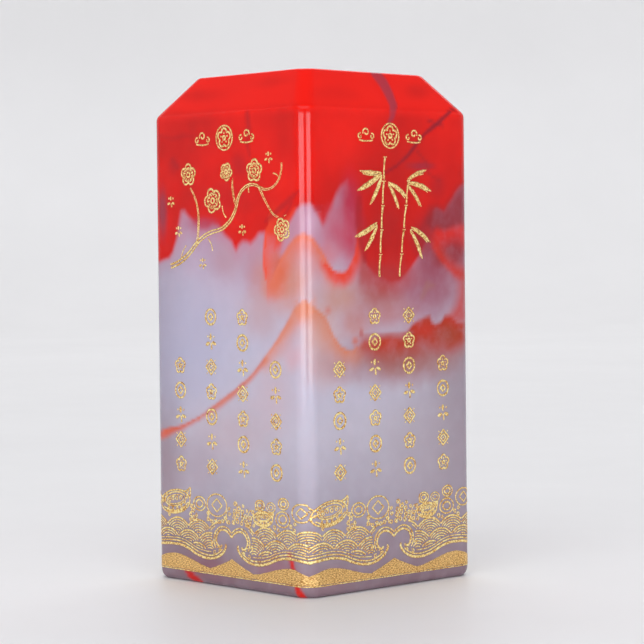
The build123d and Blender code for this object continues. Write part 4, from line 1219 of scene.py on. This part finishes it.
# heading, picture and columns
columns = {
    "across": [-12.4, -4.1, 4.1, 12.4], "foot": 20.5, "step": 4.3, "rows": [5, 7, 7, 5], "radius": 1.45,
}
ornament = {  # sizes are shares of the ornament's radius, but for the rims, dots and bows
    "flower": {"rim": 0.14, "centre": 0.2, "stamens": (0.32, 0.62), "bow": 0.02, "notch": 0.66,
               "swell": 0.7},
    "lozenge": {"rim": 0.12, "inner": 0.52, "dot": 0.4, "corners": (0.6, 0.86), "bow": 0.03},
    "sprig": {"start": 0.2, "leaf": 0.92, "fullness": 0.24, "leaves": (90, 200, 340),
              "foot": (0.1, 0.15, 0.1), "dotPlace": (0.55, 0.6), "dot": 0.46},
    "coin": {"rim": 0.14, "hole": 0.42, "weight": 1.1},
}
heading = {"height": 76.8, "radius": 2.2, "rim": 0.12, "flowerInset": 0.42, "weight": 1.25}
headingCloud = {
    "across": 5.72, "size": 1.32,
    "curls": [  # middle and radius in sizes, first and last angle
        ((0, 0.35), 0.6, -30, 380), ((-1.05, -0.15), 0.42, 60, 430), ((1.05, -0.15), 0.42, 120, -250),
    ],
    "foot": (1.3, -0.62, -0.16),             # half length, height and rise of the waved foot, in sizes
}


def ringLine(centre, radius):
    return ellipseLine(centre, radius, radius)


def petalRing(centre, radius, petals=5, turn=90.0):
    # round petals that meet in notches: the radius swells and dips with the angle
    notch, swell = ornament["flower"]["notch"], ornament["flower"]["swell"]
    a = np.linspace(0, math.tau, 20 * petals + 1)[:-1]
    beat = np.abs(np.cos((a - math.radians(turn)) * petals / 2))
    r = radius * (notch + (1 - notch) * beat**swell)
    return ellipseLine(centre, r, r, 20 * petals)


def dot(centre, size):
    # a dab of gold, as a very short fat stroke
    x, y = centre
    return np.array([(x - size / 2, y), (x, y + 0.02), (x + size / 2, y)]), size, False


def flowerLines(centre, radius, stamens=5, turn=90.0):
    # a ring of petals, a small ring in the middle, and stamens between the two
    shape = ornament["flower"]
    lines = [(petalRing(centre, radius - shape["rim"], turn=turn), gold["mark"], True),
             (ringLine(centre, radius * shape["centre"]), gold["mark"], True)]
    for k in range(stamens):
        way = towards(turn + k * 360 / stamens, radius)
        start, end = (centre + way * share for share in shape["stamens"])
        lines.append((bowLine(start, end, shape["bow"], 6), gold["fine"], False))
    return lines


def leafLine(root, angle, length, fullness):
    # one stroke, thin at both ends; the width follows a half sine
    share = np.linspace(0, 1, 15)
    width = (share, 0.1 + 2 * fullness * length * np.sin(math.pi * share) ** 0.8)
    return bowLine(root, root + towards(angle, length), 0.04 * length), width, False


def lozengeLines(centre, radius):
    # two diamonds one in the other, a dot, and a short stroke at each corner of the square round them
    shape = ornament["lozenge"]
    diamond = diamondLine(radius - shape["rim"], radius - shape["rim"], 10)
    lines = [(diamond + centre, gold["mark"], True), (diamond * shape["inner"] + centre, gold["fine"], True),
             dot(centre, shape["dot"])]
    for corner in ((1, 1), (-1, 1), (-1, -1), (1, -1)):
        start, end = (centre + np.array(corner) * radius * share for share in shape["corners"])
        lines.append((bowLine(start, end, shape["bow"], 6), gold["hair"], False))
    return lines


def sprigLines(centre, radius):
    # three leaves, a stalk that leans to the right, and two dots
    shape = ornament["sprig"]
    lines = [leafLine(centre + towards(a, shape["start"]), a, radius * shape["leaf"], shape["fullness"])
             for a in shape["leaves"]]
    down, aside, bow = shape["foot"]
    stalk = bowLine(np.add(centre, (0, -down)), np.add(centre, (aside, -radius)), bow, 8)
    lines.append((stalk, gold["mark"], False))
    for side in (-radius, radius):
        place = np.multiply(shape["dotPlace"], (side, radius))
        lines.append(dot(centre + place, shape["dot"]))
    return lines


def littleCoinLines(centre, radius):
    # a ring round a diamond hole
    shape = ornament["coin"]
    rim = ringLine(centre, radius - shape["rim"])
    hole = diamondLine(radius * shape["hole"], radius * shape["hole"], 8) + centre
    return [(rim, gold["mark"] * shape["weight"], True), (hole, gold["mark"], True)]


def cloudLines(centre, size):
    # three curls over a waved foot
    lines = []
    for place, radius, first, last in headingCloud["curls"]:
        middle, outer = np.add(centre, np.multiply(place, size)), radius * size
        lines.append((spiralLine(middle, outer, outer * 0.3, first, last, 0.95), gold["curl"], False))
    reach, height, rise = np.multiply(headingCloud["foot"], size)
    foot = np.add(centre, (0, height))
    lines.append((bowLine(foot - (reach, 0), foot + (reach, 0), rise), gold["hair"], False))
    return lines


def columnLines(face):
    # the kinds of ornament take turns up each column, from one column to the next and round the stone
    kinds = [flowerLines, lozengeLines, sprigLines, littleCoinLines]
    lines = []
    for n, (across, rows) in enumerate(zip(columns["across"], columns["rows"])):
        for row in range(rows):
            centre = (across, columns["foot"] + row * columns["step"])
            lines += kinds[(row + n + face) % len(kinds)](centre, columns["radius"])
    return lines


def headingLines():
    # a ringed flower between two clouds
    centre = (0.0, heading["height"])
    lines = [(ringLine(centre, heading["radius"] - heading["rim"]), gold["fine"], True)]
    lines += flowerLines(centre, heading["radius"] - heading["flowerInset"])
    for side in (-1, 1):
        cloud = cloudLines((headingCloud["across"], heading["height"]), headingCloud["size"])
        lines += [(line * (side, 1), width * heading["weight"], loop) for line, width, loop in cloud]
    return lines


plumArt = {
    "branches": [  # points, first heading, width at the start and at the end
        ([(-14.8, 55), (-8.4, 58.2), (-2.4, 61), (3.2, 65.8), (8.8, 68.2), (14.4, 72.2)], 10, 0.85, 0.3),
        ([(-7.6, 58.4), (-7, 63.4), (-9.2, 68.6)], 75, 0.5, 0.25),
        ([(2.8, 65.4), (2, 69.4), (-0.4, 71.4)], 115, 0.42, 0.22),
        ([(8.8, 68.2), (11.6, 64.2), (15.6, 63.4)], 300, 0.45, 0.22),
    ],
    "bark": {"knots": 9, "swell": 0.22, "seed": 77, "apart": 0.36, "width": 0.52},
    "twigs": [  # across, up, direction, length
        (-11.8, 56.2, 60, 2.6), (-4.6, 59.8, 300, 2.4), (0.4, 63.2, 120, 2.2), (6.2, 67.2, 80, 2.2),
        (12.2, 70.4, 330, 2.0),
    ],
    "flowers": [(-9.6, 70.8, 2.0), (-3.2, 66.2, 2.2), (0.4, 71, 1.6), (7.6, 71, 2.0), (14.4, 61, 2.0)],
    "buds": [(-12.4, 61), (-6, 55.4), (4.4, 61), (11.2, 73), (-14.4, 66.2)],
}


def clearOf(lines, discs, gap):
    # the stretches of the lines that stay this far out of the discs (across, up, radius)
    clear = []
    for line, width, loop in lines:
        keep = np.ones(len(line), bool)
        for x, y, size in discs:
            keep &= np.hypot(line[:, 0] - x, line[:, 1] - y) > size + gap
        clear += [(run, width, still) for run, still in keptRuns(line, keep, loop)]
    return clear


def plumLines():
    # branches as two wavering outlines of bark, twigs with a bud, flowers in front and sprigs around
    bark, lines = plumArt["bark"], []
    for points, way, thick, thin in plumArt["branches"]:
        line = tangentLine(points, way)
        share = np.linspace(0, 1, 24)
        place = np.stack([share * bark["knots"], np.full(24, thick * 50)], axis=1)
        knots = 1 + bark["swell"] * latticeNoise(place, 1.0, bark["seed"])
        spread = (thick + (thin - thick) * np.linspace(0, 1, len(line)))[:, None] * bark["apart"]
        forward = np.gradient(line, axis=0)
        forward /= np.linalg.norm(forward, axis=1)[:, None]
        aside = np.stack([-forward[:, 1], forward[:, 0]], axis=1) * spread
        width = (share, (thick + (thin - thick) * share) * bark["width"] * knots)
        lines += [(line - aside, width, False), (line + aside, width, False)]
    for x, y, angle, length in plumArt["twigs"]:
        end = (x, y) + towards(angle, length)
        lines += [(bowLine((x, y), end, 0.25), ([0, 1], [0.34, 0.2]), False), dot(end, 0.42)]
    lines = clearOf(lines, plumArt["flowers"], 0.18)
    for k, (x, y, size) in enumerate(plumArt["flowers"]):
        lines += flowerLines((x, y), size, 10, 90 + 23 * k)
        lines.append((petalRing((x, y), size * 0.62, turn=90 + 23 * k), gold["hair"], True))
    for bud in plumArt["buds"]:
        lines += sprigLines(bud, 1.0)
    return lines


bambooArt = {
    "stems": [((-2.8, 52.8), (-1.2, 73.4), 5, 0.46), ((2, 52.8), (4.4, 69.4), 4, 0.42)],
    "leaves": [  # across, up, direction, length
        (-2, 70.6, 208, 6.8), (-2, 70.2, 240, 6), (-2.2, 70.6, 178, 5.2), (-0.6, 69, 330, 5.6),
        (-0.6, 68.8, 300, 5.2), (4, 69.4, 20, 5.2), (4.2, 69, 345, 6), (4, 68.6, 312, 5.2),
        (-3.2, 62.2, 205, 6), (-3.2, 61.8, 235, 5.6), (4.8, 61.4, 330, 5.6), (4.6, 61, 300, 6),
    ],
}


def bambooLines():
    # stems joint by joint with a hair across each, and leaves with a vein beside them
    lines = []
    for foot, top, joints, width in bambooArt["stems"]:
        foot, top = np.array(foot), np.array(top)
        widths = (np.array([0, 0.5, 1]), np.array([1.15, 0.85, 1.15]) * width)
        for k in range(joints):
            start, end = foot + (top - foot) * k / joints, foot + (top - foot) * (k + 0.94) / joints
            lines.append((bowLine(start, end, 0.15), widths, False))
            lines.append((bowLine(end + (-0.5, 0.12), end + (0.5, 0.12), -0.1, 6), gold["hair"], False))
    for x, y, angle, length in bambooArt["leaves"]:
        lines.append(leafLine((x, y), angle, length, 0.075))
        tip = (x, y) + towards(angle, 0.85 * length)
        lines.append((bowLine((x, y - 0.35), tip + (0, -0.42), 0.05 * length), gold["hair"] * 0.9, False))
    return lines


orchidArt = {
    "leaves": [  # root, tip, rise
        ((-1.5, 53.4), (-14, 61), 3.2), ((-0.9, 53.4), (-12.4, 69.4), 2.8), ((-0.3, 53.4), (-4.4, 73), 2.0),
        ((0.3, 53.4), (6, 72.2), -2.0), ((0.9, 53.4), (13.2, 67.8), -3.2), ((1.5, 53.4), (14.4, 59.4), -3.2),
    ],
    "flowers": [(-6.8, 71.4, 2.4), (8.8, 72.2, 2.4)],
}


def orchidLines():
    # long bowed leaves from one root, and two flowers of five petals
    lines = []
    for root, tip, rise in orchidArt["leaves"]:
        share = np.linspace(0, 1, 15)
        width = 0.16 + 0.52 * np.sin(math.pi * share**0.8)
        lines.append((bowLine(root, tip, rise, 30), (share, width), False))
    for x, y, size in orchidArt["flowers"]:
        lines += [leafLine((x, y), 90 + 72 * k, size, 0.15) for k in range(5)] + [dot((x, y), 0.5)]
    return lines


daisyArt = {
    "heads": [(-4, 67.8, 5.2), (6.8, 64.6, 4)],
    "petals": 14, "petalReach": [(0.36, 1.0), (0.3, 0.72)], "eye": (0.24, 0.12),    # in radii of the head
    "stems": [([(-4, 67.8), (-2, 59.4), (-0.4, 53)], 270), ([(6.8, 64.6), (4, 57.8), (0, 53.4)], 260)],
    "leaves": [(-2.4, 59.4, 160, 6.4), (-1.2, 56.6, 200, 6), (3.2, 56.2, 340, 6.8), (5.6, 58.6, 10, 6)],
}


def daisyLines():
    # stems that stop short of the heads, two rings of petals round two small rings, and leaves
    stems = [(tangentLine(points, way), gold["mark"], False) for points, way in daisyArt["stems"]]
    lines = clearOf(stems, daisyArt["heads"], 0.15)
    for x, y, size in daisyArt["heads"]:
        for ring, (first, last) in enumerate(daisyArt["petalReach"]):
            for k in range(daisyArt["petals"]):
                a = (k + 0.5 * ring) * 360 / daisyArt["petals"]
                lines.append(leafLine((x, y) + towards(a, size * first), a, size * (last - first), 0.1))
        lines += [(ringLine((x, y), size * share), gold["fine"], True) for share in daisyArt["eye"]]
    lines += [leafLine((x, y), angle, length, 0.13) for x, y, angle, length in daisyArt["leaves"]]
    return lines


pictureKinds = {"front": plumLines, "right": bambooLines, "back": orchidLines, "left": daisyLines}
for face, name in enumerate(faceNames):
    kinds = [("Picture", pictureKinds[name]()), ("Heading", headingLines()), ("Columns", columnLines(face))]
    for kind, lines in kinds:
        goldPiece(f"gold{name.title()}{kind}", f"{name}_{kind.lower()}", onFace(face, lines))
print("stage: pictures and columns")

# floor, lights and camera
studio = {
    "floorRadius": 1.6, "floorBend": 0.4, "wallHeight": 1.3,
    "floorColour": (0.88, 0.87, 0.86), "floorShade": 0.97,
    "floorRoughness": (0.42, 0.5), "floorGrains": 9.0,
    "world": (0.80, 0.80, 0.82), "worldStrength": 0.4,
    "boxes": [  # azimuth from the front face's normal, distance, middle height, width, height, power
        (23, 0.62, 0.05, 0.39, 0.15, 1.25), (72, 0.62, 0.05, 0.31, 0.15, 1.0),
        (36, 1.2, 1.3, 1.8, 1.4, 14.5), (222, 1.25, 1.25, 1.8, 1.3, 13.0),
    ],
    "boxColour": (0.93, 0.95, 1.0), "boxAim": (0, 0, 0.045),
}


def studioFloor():
    # a flat disc that turns up into a wall: the radius grows, then the height follows a quarter turn
    bend = studio["floorBend"]
    flat = np.linspace(0, studio["floorRadius"] - bend, 10)
    quarter = np.linspace(0, math.pi / 2, 13)[1:]
    radius = np.concatenate([flat, flat[-1] + bend * np.sin(quarter), [studio["floorRadius"]]])[:, None]
    height = np.concatenate([0 * flat, bend * (1 - np.cos(quarter)), [studio["wallHeight"]]])[:, None]
    turn = np.radians(np.linspace(0, 360, 97)[:-1])
    rings = np.stack([radius * np.cos(turn), radius * np.sin(turn), height * np.ones_like(turn)], axis=-1)
    floor = meshPiece("studioFloor", rings.reshape(-1, 3) / mm, tubeQuads(len(radius), len(turn)))
    closeUp(floor)
    return floor


def floorMaterial():
    # a pale tone that hardly changes with broad noise
    material, tree, shader = newMaterial("paleFloor")
    broad, fine = grainAt(tree, studio["floorGrains"])
    stops = [(place, (*[share * v for v in studio["floorColour"]], 1))
             for place, share in ((0.3, studio["floorShade"]), (0.7, 1))]
    tree.links.new(ramp(tree, broad, stops), shader.inputs["Base Color"])
    tree.links.new(between(tree, fine, 0.3, 0.7, *studio["floorRoughness"]), shader.inputs["Roughness"])
    return material


floor = studioFloor()
floor.data.materials.append(floorMaterial())

world = bpy.data.worlds.new("softWorld")
world.use_nodes = True
background = world.node_tree.nodes["Background"]
background.inputs["Color"].default_value = (*studio["world"], 1)
background.inputs["Strength"].default_value = studio["worldStrength"]
bpy.context.scene.world = world

for number, (azimuth, distance, up, width, tall, power) in enumerate(studio["boxes"]):
    light = bpy.data.lights.new(f"softBox{number}", "AREA")
    light.shape = "RECTANGLE"
    light.size, light.size_y, light.energy, light.color = width, tall, power, studio["boxColour"]
    lamp = bpy.data.objects.new(light.name, light)
    lamp.visible_camera = False
    a = math.radians(azimuth)
    lamp.location = (distance * math.sin(a), -distance * math.cos(a), up)
    aim = Vector(studio["boxAim"]) - lamp.location
    lamp.rotation_euler = aim.to_track_quat("-Z", "Y").to_euler()
    bpy.context.collection.objects.link(lamp)

shot = {  # angles in degrees, lengths in metres, lens and sensor in millimetres
    "yaw": 46.801, "pitch": 1.774, "roll": -0.579, "lens": 124.88, "sensor": 36, "distance": 0.39401,
    "aside": 0.001836, "above": -0.00509, "target": (0, 0, 0.05), "nearest": 0.01,
}


def photographCamera():
    # looks along yaw and pitch, rolled about that line, and moved aside and up in its own frame
    yaw, pitch, roll = (math.radians(shot[key]) for key in ("yaw", "pitch", "roll"))
    forward = Vector((-math.sin(yaw) * math.cos(pitch), math.cos(yaw) * math.cos(pitch), -math.sin(pitch)))
    level = forward.cross(Vector((0, 0, 1))).normalized()
    upright = level.cross(forward)
    right = level * math.cos(roll) + upright * math.sin(roll)
    up = upright * math.cos(roll) - level * math.sin(roll)
    spot = Vector(shot["target"]) - forward * shot["distance"] + right * shot["aside"] + up * shot["above"]
    data = bpy.data.cameras.new("photographCamera")
    data.lens, data.sensor_width, data.clip_start = shot["lens"], shot["sensor"], shot["nearest"]
    camera = bpy.data.objects.new("photographCamera", data)
    rows = [(right[k], up[k], -forward[k], spot[k]) for k in range(3)]
    camera.matrix_world = Matrix(rows + [(0, 0, 0, 1)])
    bpy.context.collection.objects.link(camera)
    return camera


bpy.context.scene.camera = photographCamera()
bpy.context.scene.view_settings.view_transform = "Standard"
print("stage: studio")
